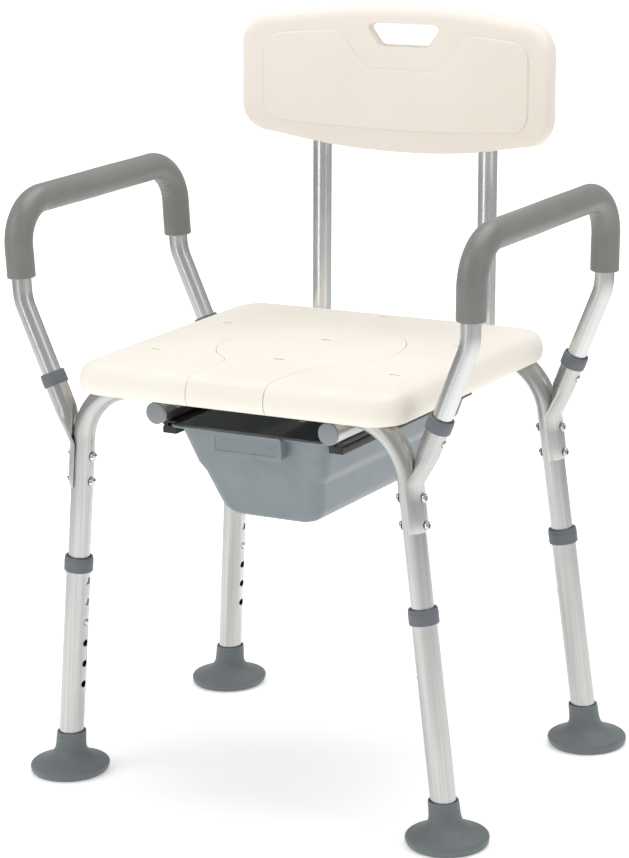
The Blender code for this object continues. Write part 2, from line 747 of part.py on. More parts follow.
def build_seat_screw(side, end, tag):
    profile = [(0, -0.0170), (0.0040, -0.0164), (0.0046, -0.0142), (0.0046, -0.0134), (0.0021, -0.0134),
               (0.0021, 0.0195), (0, 0.0198)]
    place = leg_point(side, end, CROSS_Z)
    place.x = side * SCREW_X
    name = "seat_screw_" + tag
    add_object(name, lathe_mesh(name, profile, 8, Matrix.Translation(place)), STEEL)


def build_bucket():
    """Bucket with a flange for the slides, a shoulder half-way down and a pull plate."""
    wall = 0.0022
    rise = 0.0024
    levels = ((0.045, -0.110, 0.111, 0.3205, 0.010), (0.060, -0.116, 0.117, 0.3265, 0.013),
              (0.068, -0.122, 0.122, 0.3380, 0.015),
              (0.077, -0.135, 0.138, 0.3730, 0.015), (0.0855, -0.140, 0.186, 0.3880, 0.015),
              (0.097, -0.1515, 0.196, FLANGE_Z[0], 0.015))
    rim = (FLANGE_X, -0.157, 0.201)
    outer = levels + ((*rim, FLANGE_Z[0], 0.018), (*rim, FLANGE_Z[1], 0.018))
    inner = [(x - wall, front + wall, rear - wall, z + rise, corner - wall)
             for x, front, rear, z, corner in levels[-2::-1]]
    top_x, top_front, top_rear, _, top_corner = levels[-1]
    mouth = (top_x - wall, top_front + wall, top_rear - wall, FLANGE_Z[1], top_corner - wall)
    rings = []
    for half_x, front, rear, z, corner in (*outer, mouth, *inner):
        rings.append([at(x, y, z) for x, y in rounded_rect(half_x, front, rear, corner, 4)])
    bucket = add_object("bucket", loft_mesh("bucket", rings), GREY_BLUE)
    plate = [(0.045, -0.163), (0.045, -0.1495), (-0.045, -0.1495), (-0.045, -0.163)]
    tool = bpy.data.objects.new("pull_plate", prism_mesh("pull_plate", plate, 0.4040, FLANGE_Z[1]))
    boolean(bucket, hide_cutter(tool), "UNION")


def build_all():
    build_frame("f", "front_frame_tube")
    build_frame("r", "rear_frame_tube")
    for side, side_tag in ((-1, "left"), (1, "right")):
        for end, end_tag in (("f", "front"), ("r", "rear")):
            tag = end_tag + "_" + side_tag
            up, out, _ = leg_axes(side, end)
            build_lower_leg(side, end, tag)
            build_leg_collar(side, end, tag)
            build_foot(side, end, tag)
            build_clip("leg_clip_" + tag, leg_point(side, end, BUTTON_Z), -out, up,
                       (0.0092, -0.0064, 0.0165, 0.006, 0.0036))
            build_bracket(side, end, tag)
            build_arm_collar(side, end, tag)
            build_bolt(side, end, BOLT_Z[0], "upper_bolt_" + tag)
            build_bolt(side, end, BOLT_Z[1], "lower_bolt_" + tag)
            arm_up, arm_out = sleeve_axes(side)
            build_clip("arm_clip_" + tag, sleeve_point(side, end, ARM_CLIP), arm_out, arm_up,
                       (0.0081, -0.0049, 0.0149, 0.005, 0.0036))
            build_seat_screw(side, end, tag)
        build_arm(side, side_tag)
        build_grip(side, side_tag)
        build_rail(side, side_tag)
        build_plug(side, side_tag)
        build_slide(side, side_tag)
        build_post(side, side_tag)
        build_clip("back_clip_" + side_tag, at(side * RAIL_X, POST_CLIP, RAIL_Z), Vector((side, 0, 0)),
                   Vector((0, 1, 0)), (0.0081, -0.0049, 0.0149, 0.005, 0.0036))
    build_seat()
    build_cover()
    build_bucket()
    build_backrest()


clear_scene()
PARTS = make_collection("shower_commode_chair")
CUTTERS = make_collection("cutters")
ALUMINIUM = make_material("satin_aluminium", (0.60, 0.61, 0.61), 0.32, 1.0)
STEEL = make_material("bright_steel", (0.72, 0.72, 0.72), 0.18, 1.0)
IVORY = make_material("ivory_plastic", (0.90, 0.86, 0.78), 0.45)
GREY = make_material("grey_plastic", (0.18, 0.20, 0.22), 0.50)
RUBBER = make_material("grey_rubber", (0.16, 0.18, 0.19), 0.70)
FOAM = make_material("grey_foam", (0.21, 0.22, 0.20), 0.85)
GREY_BLUE = make_material("bucket_plastic", (0.22, 0.26, 0.28), 0.42)
BLACK = make_material("black_plastic", (0.02, 0.02, 0.02), 0.45)
build_all()
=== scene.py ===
"""Looks of the shower commode chair: smooth detailed pieces, materials, light and camera
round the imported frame. Metres, +Z up, the front faces -Y."""
import json
import math

import bmesh
import bpy
import numpy as np
from mathutils import Matrix, Vector


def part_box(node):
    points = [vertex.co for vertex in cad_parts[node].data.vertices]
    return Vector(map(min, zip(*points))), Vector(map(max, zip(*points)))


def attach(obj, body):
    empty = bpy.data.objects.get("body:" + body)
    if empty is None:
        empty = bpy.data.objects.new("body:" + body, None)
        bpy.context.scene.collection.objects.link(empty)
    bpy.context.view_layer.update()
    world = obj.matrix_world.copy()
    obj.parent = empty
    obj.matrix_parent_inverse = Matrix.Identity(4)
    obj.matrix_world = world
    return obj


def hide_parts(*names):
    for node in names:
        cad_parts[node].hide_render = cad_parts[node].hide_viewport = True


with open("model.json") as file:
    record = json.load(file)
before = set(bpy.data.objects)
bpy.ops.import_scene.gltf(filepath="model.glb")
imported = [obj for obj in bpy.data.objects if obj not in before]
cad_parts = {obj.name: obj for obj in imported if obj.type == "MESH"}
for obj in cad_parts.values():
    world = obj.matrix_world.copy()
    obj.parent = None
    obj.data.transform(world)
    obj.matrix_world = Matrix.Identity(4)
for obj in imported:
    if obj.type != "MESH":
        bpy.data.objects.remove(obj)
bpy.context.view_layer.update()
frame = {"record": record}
BODY_OF = {n: b for b, names in frame["record"]["behaviour"]["bodies"].items() for n in names}
SIDES = ((-1, "left"), (1, "right"))
ENDS = (("f", "front"), ("r", "rear"))
UV = "TubeUV"


def centre_of(node):
    low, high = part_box(node)
    return (low + high) / 2


FEET = [centre_of("foot_" + e + "_" + s) for _, e in ENDS for _, s in SIDES]
FEET_Y = sum(p.y for p in FEET) / 4      # middle of the four feet

# The CAD's sizes in metres. LEG_CLEAR, BACK_HALF, TOP_BOW and HAND_TOP are the looks' own: they
# differ from the solids by a millimetre or less
FOOT_X = 0.2515
FOOT_Y = 0.1747
SPLAY_X = 0.101
LEAN_FRONT = 0.008
LEAN_REAR = 0.036
FRAME_R = 0.0127
FRAME_BORE = 0.0115
CROSS_Z = 0.4705
CROSS_BEND = 0.072
UPPER_END_Z = 0.172
LOWER_R = 0.0142
LOWER_BORE = 0.0131
LOWER_TOP_Z = 0.2632
LOWER_END_Z = 0.0145
BUTTON_Z = 0.1865
HOLE_PITCH = 0.0254
HOLE_R = 0.0043
COLLAR_Z = 0.2560
BOLT_Z = (0.3860, 0.3560)
SHELL_IN = 0.0131
SHELL_OUT = 0.0160
LEG_CLEAR = 0.0134
SHELL_END_Z = 0.3490
SHELL_TOP_Z = 0.4000
SLEEVE_R = 0.0127
SLEEVE_BORE = 0.01145
SLEEVE_MID = (0.2490, 0.4717)
SLEEVE_TOP = 0.0050
SLEEVE_END = -0.0360
SLEEVE_Y = {"f": -0.1705, "r": 0.1520}
ARM_R = 0.0111
ARM_BORE = 0.0099
ARM_END = -0.0330
ARM_CLIP = -0.0190
ARM_BEND = (0.2865, 0.5590)
ARM_TOP = (0.2907, 0.6680)
GRIP_R = 0.0165
GRIP_WALL = 0.0050
GRIP_END_Z = {"f": 0.5850, "r": 0.5780}
RAIL_X = 0.1116
RAIL_Z = 0.4448
RAIL_R = 0.0127
RAIL_FRONT = -0.1690
RAIL_REAR = 0.1630
POST_Y = 0.1935
POST_LEAN = 0.060
POST_FRONT = 0.0920
POST_TOP_Z = 0.8000
POST_CLIP = 0.1100
SEAT_X = 0.2090
SEAT_FRONT = -0.2035
SEAT_REAR = 0.1825
SEAT_CORNER = 0.0400
SEAT_TOP = 0.4994
SEAT_UNDER = 0.4837
LEDGE_Z = 0.4910
LID_Y = -0.0160
LID_R = 0.1080
TONGUE_X = 0.0500
TONGUE_FILLET = 0.0350
LIP_DEPTH_Y = -0.1800
SCREW_X = 0.0800
BACK_TOP = 0.8450
BACK_BOTTOM = 0.7055
BACK_X = 0.2060
BACK_HALF = 0.0154
BACK_CORNER = 0.0340
BACK_BOW = 0.80
TOP_BOW = 0.0120
BOTTOM_BOW = 0.0190
HAND_TOP = (0.0490, 0.8365)
HAND_BOTTOM = (0.0290, 0.8115)
SLIDE_X = (0.0990, 0.1170)
SLIDE_Y = 0.1500
SLIDE_Z = (0.4170, 0.4318)
FLANGE_Z = (0.4262, 0.4290)
FLANGE_X = 0.1090
# Snap clips: near leaf, far leaf, button's tip, leaf width, button radius
LEG_CLIP_SIZES = (0.0092, -0.0064, 0.0165, 0.006, 0.0036)
TUBE_CLIP_SIZES = (0.0081, -0.0049, 0.0149, 0.005, 0.0036)
# Button hole cutters: where they start and stop, measured from the tube's axis
FRAME_CUT = (0.009, 0.016)
LEG_CUT = (0.009, 0.018)
ARM_CUT = (0.008, 0.015)
OPEN_DEPTH = 0.055      # how far in an open tube end is hollow
FRONT_FLARE = 0.0060    # the hand hole's rim, in front and at the rear
REAR_FLARE_X = 0.0165
REAR_FLARE_Z = 0.0062
SLOT_R = 0.0017         # drain slots: end radius and half the straight run
SLOT_HALF = 0.005


# Places on the frame --------------------------------------------------------------------------
def at(x, y, z):
    return Vector((x, y + FEET_Y, z))


def leg_point(side, end, z):
    x = side * (FOOT_X - SPLAY_X * z)
    if end == "f":
        return at(x, -(FOOT_Y - LEAN_FRONT * z), z)
    return at(x, FOOT_Y - LEAN_REAR * z, z)


def leg_axes(side, end):
    up = (leg_point(side, end, 0.4) - leg_point(side, end, 0.0)).normalized()
    out = Vector((side, 0, 0))
    out = (out - up * out.dot(up)).normalized()
    return up, out, up.cross(out)


def sleeve_axes(side):
    up = Vector((side * (ARM_BEND[0] - SLEEVE_MID[0]), 0, ARM_BEND[1] - SLEEVE_MID[1])).normalized()
    return up, Vector((side * up.z, 0, -abs(up.x)))


def sleeve_point(side, end, along):
    return at(side * SLEEVE_MID[0], SLEEVE_Y[end], SLEEVE_MID[1]) + sleeve_axes(side)[0] * along


def place_on(origin, x_axis, z_axis):
    z = z_axis.normalized()
    x = (x_axis - z * x_axis.dot(z)).normalized()
    return Matrix.Translation(origin) @ Matrix((x, z.cross(x), z)).transposed().to_4x4()


def straight(start, stop, steps):
    return [start.lerp(stop, k / steps) for k in range(steps + 1)]


def arc_corners(points, radii, steps=18):
    """A path through points whose inner corners are arcs of the given radii."""
    path = [points[0]]
    for before, corner, after, radius in zip(points, points[1:], points[2:], radii):
        one = (before - corner).normalized()
        two = (after - corner).normalized()
        half = one.angle(two) / 2
        centre = corner + (one + two).normalized() * radius / math.sin(half)
        start = corner + one * radius / math.tan(half) - centre
        stop = corner + two * radius / math.tan(half) - centre
        turn = start.rotation_difference(stop)
        for step in range(steps + 1):
            part = Matrix.Identity(3).to_quaternion().slerp(turn, step / steps)
            path.append(centre + part @ start)
    path.append(points[-1])
    return path


# Mesh tools -----------------------------------------------------------------------------------
def skin(name, rings, lengths=None, loop=False):
    """Skin rings of equal point counts; a ring of one point is a pole. UV runs round and along."""
    verts, starts = [], []
    for ring in rings:
        starts.append(len(verts))
        verts += ring
    count = max(len(r) for r in rings)
    if lengths is None:
        lengths = [0.0]
        for a, b in zip(rings, rings[1:]):
            lengths.append(lengths[-1] + (b[0] - a[0]).length)
    faces, uvs = [], []
    pairs = list(zip(range(len(rings)), range(1, len(rings))))
    if loop:
        pairs.append((len(rings) - 1, 0))
    for a, b in pairs:
        for i in range(count):
            j = (i + 1) % count
            u0, u1 = i / count, (i + 1) / count
            va, vb = lengths[a], lengths[b]
            if len(rings[a]) == 1:
                faces.append((starts[a], starts[b] + j, starts[b] + i))
                uvs += [(u0, va), (u1, vb), (u0, vb)]
            elif len(rings[b]) == 1:
                faces.append((starts[a] + i, starts[a] + j, starts[b]))
                uvs += [(u0, va), (u1, va), (u0, vb)]
            else:
                faces.append((starts[a] + i, starts[a] + j, starts[b] + j, starts[b] + i))
                uvs += [(u0, va), (u1, va), (u1, vb), (u0, vb)]
    if not loop:
        for end, ring in ((0, rings[0]), (-1, rings[-1])):
            if len(ring) > 1:
                first = starts[end]
                order = range(len(ring))
                faces.append(tuple(first + i for i in order))
                uvs += [(i / count, lengths[end]) for i in order]
    mesh = bpy.data.meshes.new(name)
    mesh.from_pydata([tuple(v) for v in verts], [], faces)
    layer = mesh.uv_layers.new(name=UV)
    layer.data.foreach_set("uv", [c for uv in uvs for c in uv])
    return tidy(mesh)


def tidy(mesh):
    """Face normals point out."""
    bm = bmesh.new()
    bm.from_mesh(mesh)
    bmesh.ops.recalc_face_normals(bm, faces=bm.faces)
    bm.to_mesh(mesh)
    bm.free()
    return mesh


def travel_of(path):
    total = [0.0]
    for a, b in zip(path, path[1:]):
        total.append(total[-1] + (b - a).length)
    return total


def sweep(name, path, sections, count, seam):
    """Rings round a path; sections are (distance along, radius), and radius 0 makes a pole."""
    travel = travel_of(path)
    tangents = [(b - a).normalized() for a, b in zip([path[0]] + path[:-1], path[1:] + [path[-1]])]
    across = [(seam - tangents[0] * seam.dot(tangents[0])).normalized()]
    for t in tangents[1:]:
        across.append((across[-1] - t * across[-1].dot(t)).normalized())
    rings = []
    for s, radius in sections:
        k = int(np.clip(np.searchsorted(travel, s, side="right") - 1, 0, len(path) - 2))
        f = (s - travel[k]) / (travel[k + 1] - travel[k])
        point = path[k].lerp(path[k + 1], f)
        t = tangents[k].lerp(tangents[k + 1], f).normalized()
        a = across[k].lerp(across[k + 1], f)
        a = (a - t * a.dot(t)).normalized()
        b = t.cross(a)
        if radius == 0:
            rings.append([point])
            continue
        ring = []
        for angle in (math.tau * i / count for i in range(count)):
            reach = radius(angle, s) if callable(radius) else radius
            ring.append(point + (a * math.cos(angle) + b * math.sin(angle)) * reach)
        rings.append(ring)
    return skin(name, rings, [s for s, _ in sections])


def tube(name, path, radius, bore, depth=None, count=64, seam=Vector((0, 1, 0)), rim=0.0004):
    """A round tube with eased rims, open at both ends to a depth, or right through."""
    stops = travel_of(path)
    total = stops[-1]
    ends = [(0.0, bore + rim), (0.0, radius - rim), (rim, radius)]
    sections = ends + [(s, radius) for s in stops[1:-1]] + [(total - s, r) for s, r in ends[::-1]]
    if depth is None:
        inside = [(total - rim, bore)] + [(s, bore) for s in stops[-2:0:-1]] + [(rim, bore)]
        return ring_tube(name, path, sections + inside, count, seam)
    start = [(depth, 0), (depth, bore), (rim, bore)]
    return sweep(name, path, start + sections + [(total - s, r) for s, r in start[::-1]], count, seam)


def ring_tube(name, path, sections, count, seam):
    """Like sweep, for a closed chain of sections: the last ring joins the first."""
    first = path[0]
    axis = (path[-1] - first).normalized()
    a = (seam - axis * seam.dot(axis)).normalized()
    b = axis.cross(a)
    rings = []
    for s, radius in sections:
        point = first + axis * s
        rings.append([point + (a * math.cos(t) + b * math.sin(t)) * radius
                      for t in (math.tau * i / count for i in range(count))])
    return skin(name, rings, [s for s, _ in sections], loop=True)


def ease(points, radius, steps=4, closed=True):
    """Fillet the corners of a flat outline; a point with a third value sets its own radius."""
    flat = [Vector(p[:2]) for p in points]
    own = [p[2] if len(p) > 2 else radius for p in points]
    out = []
    n = len(flat)
    for i, corner in enumerate(flat):
        if not closed and i in (0, n - 1):
            out.append(tuple(corner))
            continue
        before, after = flat[(i - 1) % n] - corner, flat[(i + 1) % n] - corner
        if own[i] <= 0 or before.length < 1e-9 or after.length < 1e-9:
            out.append(tuple(corner))
            continue
        angle = before.angle(after)
        if angle > math.pi - 0.02:
            out.append(tuple(corner))
            continue
        cut = min(own[i] / math.tan(angle / 2), 0.46 * before.length, 0.46 * after.length)
        one, two = corner + before.normalized() * cut, corner + after.normalized() * cut
        for step in range(steps + 1):
            t = step / steps
            out.append(tuple(one.lerp(corner, t).lerp(corner.lerp(two, t), t)))
    return out


def smooth_line(points, steps=6):
    """A Catmull-Rom curve through flat points."""
    pts = [Vector(p) for p in points]
    ext = [pts[0] * 2 - pts[1]] + pts + [pts[-1] * 2 - pts[-2]]
    out = []
    for i in range(1, len(ext) - 2):
        p0, p1, p2, p3 = ext[i - 1:i + 3]
        for step in range(steps):
            t = step / steps
            out.append(tuple(0.5 * ((2 * p1) + (p2 - p0) * t + (2 * p0 - 5 * p1 + 4 * p2 - p3) * t * t
                                    + (3 * p1 - p0 - 3 * p2 + p3) * t ** 3)))
    out.append(tuple(pts[-1]))
    return out


def lathe(name, profile, count, place, closed=False):
    """Turn (radius, height) points about local Z; closed profiles make a ring."""
    rings, lengths = [], []
    for i, (radius, height) in enumerate(profile):
        if radius < 1e-7:
            rings.append([place @ Vector((0, 0, height))])
        else:
            rings.append([place @ Vector((radius * math.cos(t), radius * math.sin(t), height))
                          for t in (math.tau * k / count for k in range(count))])
        if i == 0:
            lengths.append(0.0)
        else:
            before = profile[i - 1]
            lengths.append(lengths[-1] + math.hypot(radius - before[0], height - before[1]))
    return skin(name, rings, lengths, loop=closed)


def hole_rod(button, out, reach):
    near, far = reach
    return button + out * near, button + out * far, HOLE_R


def rod_mesh(rods, count=28):
    """Plain straight rods, only used to cut holes."""
    bm = bmesh.new()
    for start, stop, radius in rods:
        axis = stop - start
        turn = axis.to_track_quat("Z", "Y").to_matrix().to_4x4()
        place = Matrix.Translation((start + stop) / 2) @ turn
        bmesh.ops.create_cone(bm, cap_ends=True, segments=count, radius1=radius, radius2=radius,
                              depth=axis.length, matrix=place)
    mesh = bpy.data.meshes.new("rods")
    bm.to_mesh(mesh)
    bm.free()
    return mesh


def carve(mesh, tool, operation="DIFFERENCE"):
    """Boolean of two meshes; the tool mesh is used up."""
    holder = bpy.data.objects.new("carve_a", mesh)
    other = bpy.data.objects.new("carve_b", tool)
    for thing in (holder, other):
        bpy.context.scene.collection.objects.link(thing)
    mod = holder.modifiers.new("cut", "BOOLEAN")
    mod.operation = operation
    mod.solver = "EXACT"
    mod.object = other
    result = bake(holder)
    bpy.data.objects.remove(other)
    bpy.data.meshes.remove(tool)
    return result


def bake(holder):
    """The holder's mesh with its modifiers applied; the holder is removed."""
    bpy.context.view_layer.update()
    graph = bpy.context.evaluated_depsgraph_get()
    result = bpy.data.meshes.new_from_object(holder.evaluated_get(graph))
    old = holder.data
    bpy.data.objects.remove(holder)
    bpy.data.meshes.remove(old)
    return result


def soften(mesh, width, segments=3, angle=40):
    """Round the sharp edges and keep the flat faces flat in shading."""
    holder = bpy.data.objects.new("soften", mesh)
    bpy.context.scene.collection.objects.link(holder)
    mod = holder.modifiers.new("bevel", "BEVEL")
    mod.width = width
    mod.segments = segments
    mod.limit_method = "ANGLE"
    mod.angle_limit = math.radians(angle)
    mod.use_clamp_overlap = True
    mod.miter_outer = "MITER_ARC"
    mesh.shade_smooth()
    weigh = holder.modifiers.new("weigh", "WEIGHTED_NORMAL")
    weigh.keep_sharp = True
    weigh.weight = 80
    return bake(holder)


def shade(mesh, angle=38):
    mesh.shade_smooth()
    mesh.set_sharp_from_angle(angle=math.radians(angle))
    return mesh


def piece(name, mesh, material, nodes, smooth=38):
    """A finished piece that rides with the CAD node it stands for."""
    if smooth:
        shade(mesh, smooth)
    mesh.name = name
    thing = bpy.data.objects.new(name, mesh)
    bpy.context.scene.collection.objects.link(thing)
    mesh.materials.clear()
    mesh.materials.append(material)
    nodes = [nodes] if isinstance(nodes, str) else nodes
    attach(thing, BODY_OF[nodes[0]])
    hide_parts(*nodes)
    return thing


def rounded_rect(half_x, front, rear, corner, steps=14):
    centres = ((half_x - corner, rear - corner, 0), (corner - half_x, rear - corner, 90),
               (corner - half_x, front + corner, 180), (half_x - corner, front + corner, 270))
    outline = []
    for x, y, first in centres:
        for step in range(steps + 1):
            angle = math.radians(first + 90 * step / steps)
            outline.append((x + corner * math.cos(angle), y + corner * math.sin(angle)))
    return outline


def prism(name, outline, low, high):
    return skin(name, [[at(x, y, z) for x, y in outline] for z in (low, high)])


# Materials ------------------------------------------------------------------------------------
class Nodes:
    """A small helper to wire a material's nodes."""

    def __init__(self, name):
        self.mat = bpy.data.materials.new(name)
        self.mat.use_nodes = True
        self.tree = self.mat.node_tree
        self.shader = self.tree.nodes["Principled BSDF"]

    def add(self, kind, inputs=None, **settings):
        node = self.tree.nodes.new(kind)
        for key, value in settings.items():
            setattr(node, key, value)
        for key, value in (inputs or {}).items():
            if isinstance(value, bpy.types.NodeSocket):
                self.tree.links.new(value, node.inputs[key])
            else:
                node.inputs[key].default_value = value
        return node

    def set(self, key, value):
        if isinstance(value, bpy.types.NodeSocket):
            self.tree.links.new(value, self.shader.inputs[key])
        else:
            self.shader.inputs[key].default_value = value

    def place(self):
        return self.add("ShaderNodeTexCoord").outputs["Object"]

    def noise(self, vector, scale, detail=4.0, rough=0.5, distort=0.0):
        return self.add("ShaderNodeTexNoise", {"Vector": vector, "Scale": scale, "Detail": detail,
                                               "Roughness": rough, "Distortion": distort}).outputs["Fac"]

    def remap(self, value, low, high, to_low, to_high):
        return self.add("ShaderNodeMapRange", {"Value": value, "From Min": low, "From Max": high,
                                               "To Min": to_low, "To Max": to_high}).outputs["Result"]

    def math(self, operation, a, b=0.0):
        return self.add("ShaderNodeMath", {0: a, 1: b}, operation=operation).outputs[0]

    def mix(self, factor, a, b):
        node = self.add("ShaderNodeMix", {0: factor, 6: a, 7: b}, data_type="RGBA")
        return node.outputs[2]

    def bump(self, height, strength, distance, normal=None):
        inputs = {"Height": height, "Strength": strength, "Distance": distance}
        if normal is not None:
            inputs["Normal"] = normal
        return self.add("ShaderNodeBump", inputs).outputs["Normal"]

    def edges(self, low, high):
        point = self.add("ShaderNodeNewGeometry").outputs["Pointiness"]
        return self.remap(point, low, high, 0.0, 1.0)


def rgb(r, g, b):
    """Linear colour from 0..255 display values."""
    return tuple((c / 255 / 12.92) if c <= 10.3 else ((c / 255 + 0.055) / 1.055) ** 2.4
                 for c in (r, g, b)) + (1.0,)


def toned(tone, factor, lift=0.0):
    return tuple(min(1.0, c * factor + lift) for c in tone[:3]) + (1.0,)


def aluminium(name, tone, roughness, streak):
    """Anodised tube: satin metal with fine die lines along it, faint clouding and rubbed edges."""
    n = Nodes(name)
    uv = n.add("ShaderNodeUVMap", uv_map=UV).outputs["UV"]
    split = n.add("ShaderNodeSeparateXYZ", {0: uv})
    turn = n.math("MULTIPLY", split.outputs[0], math.tau)
    round_x = n.math("COSINE", turn)
    round_y = n.math("SINE", turn)
    lines = n.add("ShaderNodeCombineXYZ", {0: round_x, 1: round_y, 2: split.outputs[1]}).outputs[0]
    fine = n.noise(lines, 26.0, 3.0, 0.6)
    broad = n.noise(lines, 5.0, 2.0, 0.5)
    here = n.place()
    cloud = n.noise(here, 14.0, 5.0, 0.55)
    grain = n.noise(here, 2400.0, 2.0, 0.5)
    colour = n.mix(n.remap(broad, 0.35, 0.65, 0.0, 1.0), toned(tone, 0.90), toned(tone, 1.05))
    colour = n.mix(n.remap(cloud, 0.45, 0.75, 0.0, 0.35), colour, tone)
    worn = n.edges(0.53, 0.60)
    n.set("Base Color", n.mix(n.math("MULTIPLY", worn, 0.5), colour, (0.93, 0.93, 0.92, 1.0)))
    n.set("Metallic", 1.0)
    rough = n.remap(fine, 0.3, 0.7, roughness - 0.035, roughness + 0.035)
    smudge = n.remap(cloud, 0.4, 0.8, -0.02, 0.06)
    n.set("Roughness", n.math("ADD", rough, smudge))
    normal = n.bump(fine, streak, 0.0002)
    n.set("Normal", n.bump(grain, 0.10, 0.0001, normal))
    return n.mat


def ivory(name, tone, pebble):
    """Blow-moulded polyethylene: fine pebbled skin, faint mottling, and painted shade that darkens it
    towards brown in hollows and seams.
    """
    n = Nodes(name)
    here = n.place()
    cloud = n.noise(here, 9.0, 5.0, 0.55)
    skin_noise = n.noise(here, 950.0, 3.0, 0.55)
    wave = n.noise(here, 60.0, 2.0, 0.5)
    deep = tuple(c * f for c, f in zip(tone[:3], (0.965, 0.955, 0.93))) + (1.0,)
    colour = n.mix(n.remap(cloud, 0.35, 0.70, 0.0, 0.8), tone, deep)
    # Painted shade: where the surface is hollow (seams, the cover's gap, inner corners) the colour
    # darkens towards brown.
    dips = n.edges(0.497, 0.455)
    n.set("Base Color", n.mix(n.math("MULTIPLY", dips, 0.45), colour, (0.62, 0.53, 0.42, 1.0)))
    n.set("Roughness", n.remap(skin_noise, 0.3, 0.7, 0.46, 0.60))
    n.set("Specular IOR Level", 0.42)
    n.set("Subsurface Weight", 0.12)
    n.set("Subsurface Radius", (0.006, 0.005, 0.0035))
    n.set("Subsurface Scale", 1.0)
    normal = n.bump(wave, 0.10, 0.0012)
    n.set("Normal", n.bump(skin_noise, pebble, 0.00022, normal))
    return n.mat


def grey_plastic(name, tone, roughness, sheen=0.0):
    """Injection-moulded grey: spark texture, flow marks and lighter rubbed edges."""
    n = Nodes(name)
    here = n.place()
    cloud = n.noise(here, 40.0, 4.0, 0.6)
    spark = n.noise(here, 1700.0, 2.0, 0.5)
    scuff = n.noise(here, 220.0, 5.0, 0.7, 0.6)
    colour = n.mix(n.remap(cloud, 0.3, 0.7, 0.0, 1.0), toned(tone, 0.95), toned(tone, 1.05))
    marks = n.remap(scuff, 0.62, 0.80, 0.0, 0.25)
    pale = toned(tone, 1.8, 0.03)
    colour = n.mix(marks, colour, pale)
    worn = n.math("MULTIPLY", n.edges(0.53, 0.62), 0.35)
    n.set("Base Color", n.mix(worn, colour, pale))
    n.set("Roughness", n.remap(scuff, 0.3, 0.7, roughness - 0.05, roughness + 0.08))
    n.set("Sheen Weight", sheen)
    n.set("Normal", n.bump(spark, 0.22, 0.00015))
    return n.mat


def foam(name, tone):
    """Closed-cell foam sleeve: pores with painted shade in them, soft mottling and a dusty sheen."""
    n = Nodes(name)
    here = n.place()
    cells = n.add("ShaderNodeTexVoronoi", {"Vector": here, "Scale": 900.0, "Randomness": 1.0},
                  feature="SMOOTH_F1").outputs["Distance"]
    pores = n.noise(here, 1500.0, 4.0, 0.65)
    cloud = n.noise(here, 30.0, 5.0, 0.6)
    rub = n.noise(here, 120.0, 3.0, 0.6)
    colour = n.mix(n.remap(cloud, 0.3, 0.7, 0.0, 1.0), toned(tone, 0.93), toned(tone, 1.06))
    # Painted shade: the colour darkens at the pores' centres.
    pore_shade = n.remap(cells, 0.55, 0.15, 0.0, 0.22)
    n.set("Base Color", n.mix(pore_shade, colour, toned(tone, 0.55)))
    n.set("Roughness", n.remap(rub, 0.3, 0.7, 0.36, 0.47))
    n.set("Specular IOR Level", 0.62)
    n.set("Sheen Weight", 0.12)
    n.set("Sheen Roughness", 0.5)
    normal = n.bump(cells, 0.28, 0.00035)
    n.set("Normal", n.bump(pores, 0.18, 0.0002, normal))
    return n.mat


def chrome(name, light, dark):
    """Plated steel with fine hairlines and a little haze."""
    n = Nodes(name)
    here = n.place()
    haze = n.noise(here, 500.0, 4.0, 0.6)
    hair = n.noise(here, 2600.0, 2.0, 0.5)
    n.set("Base Color", n.mix(n.remap(haze, 0.4, 0.7, 0.0, 1.0), light, dark))
    n.set("Metallic", 1.0)
    n.set("Roughness", n.remap(haze, 0.3, 0.7, 0.10, 0.22))
    n.set("Normal", n.bump(hair, 0.05, 0.00008))
    return n.mat


TUBE = aluminium("bright_aluminium", (0.88, 0.885, 0.88, 1.0), 0.29, 0.05)
ARM_TUBE = aluminium("arm_aluminium", (0.66, 0.665, 0.655, 1.0), 0.31, 0.05)
SATIN = aluminium("satin_aluminium", (0.56, 0.56, 0.545, 1.0), 0.33, 0.05)
CHROME = chrome("plated_steel", (0.80, 0.81, 0.82, 1.0), (0.66, 0.66, 0.66, 1.0))
ZINC = chrome("dull_zinc", (0.34, 0.34, 0.33, 1.0), (0.22, 0.22, 0.22, 1.0))
SEAT_IVORY = ivory("seat_ivory", (0.86, 0.815, 0.735, 1.0), 0.22)
BACK_IVORY = ivory("back_ivory", (0.81, 0.75, 0.685, 1.0), 0.26)
GREY = grey_plastic("grey_collars", rgb(100, 105, 111), 0.42)
PLUG_GREY = grey_plastic("grey_plugs", rgb(136, 141, 146), 0.40)
RUBBER = grey_plastic("grey_rubber_feet", rgb(104, 111, 113), 0.55, 0.15)
FOAM = foam("grey_foam_grip", rgb(117, 120, 114))
BUCKET = grey_plastic("bucket_grey_blue", rgb(124, 133, 137), 0.34)
BLACK = grey_plastic("black_slides", rgb(30, 30, 29), 0.38)


# Frames and legs ------------------------------------------------------------------------------
def make_frame(end, node):
    feet = [leg_point(side, end, UPPER_END_Z) for side, _ in SIDES]
    corners = [leg_point(side, end, CROSS_Z) for side, _ in SIDES]
    path = arc_corners([feet[0], *corners, feet[1]], (CROSS_BEND,) * 2, 26)
    back = Vector((0, 1, 0)) if end == "f" else Vector((0, -1, 0))
    mesh = tube(node, path, FRAME_R, FRAME_BORE, OPEN_DEPTH, 64, back)
    rods = []
    for side, _ in SIDES:
        _, out, _ = leg_axes(side, end)
        button = leg_point(side, end, BUTTON_Z)
        rods.append(hole_rod(button, -out, FRAME_CUT))
    piece(node + "_smooth", carve(mesh, rod_mesh(rods)), SATIN, node)


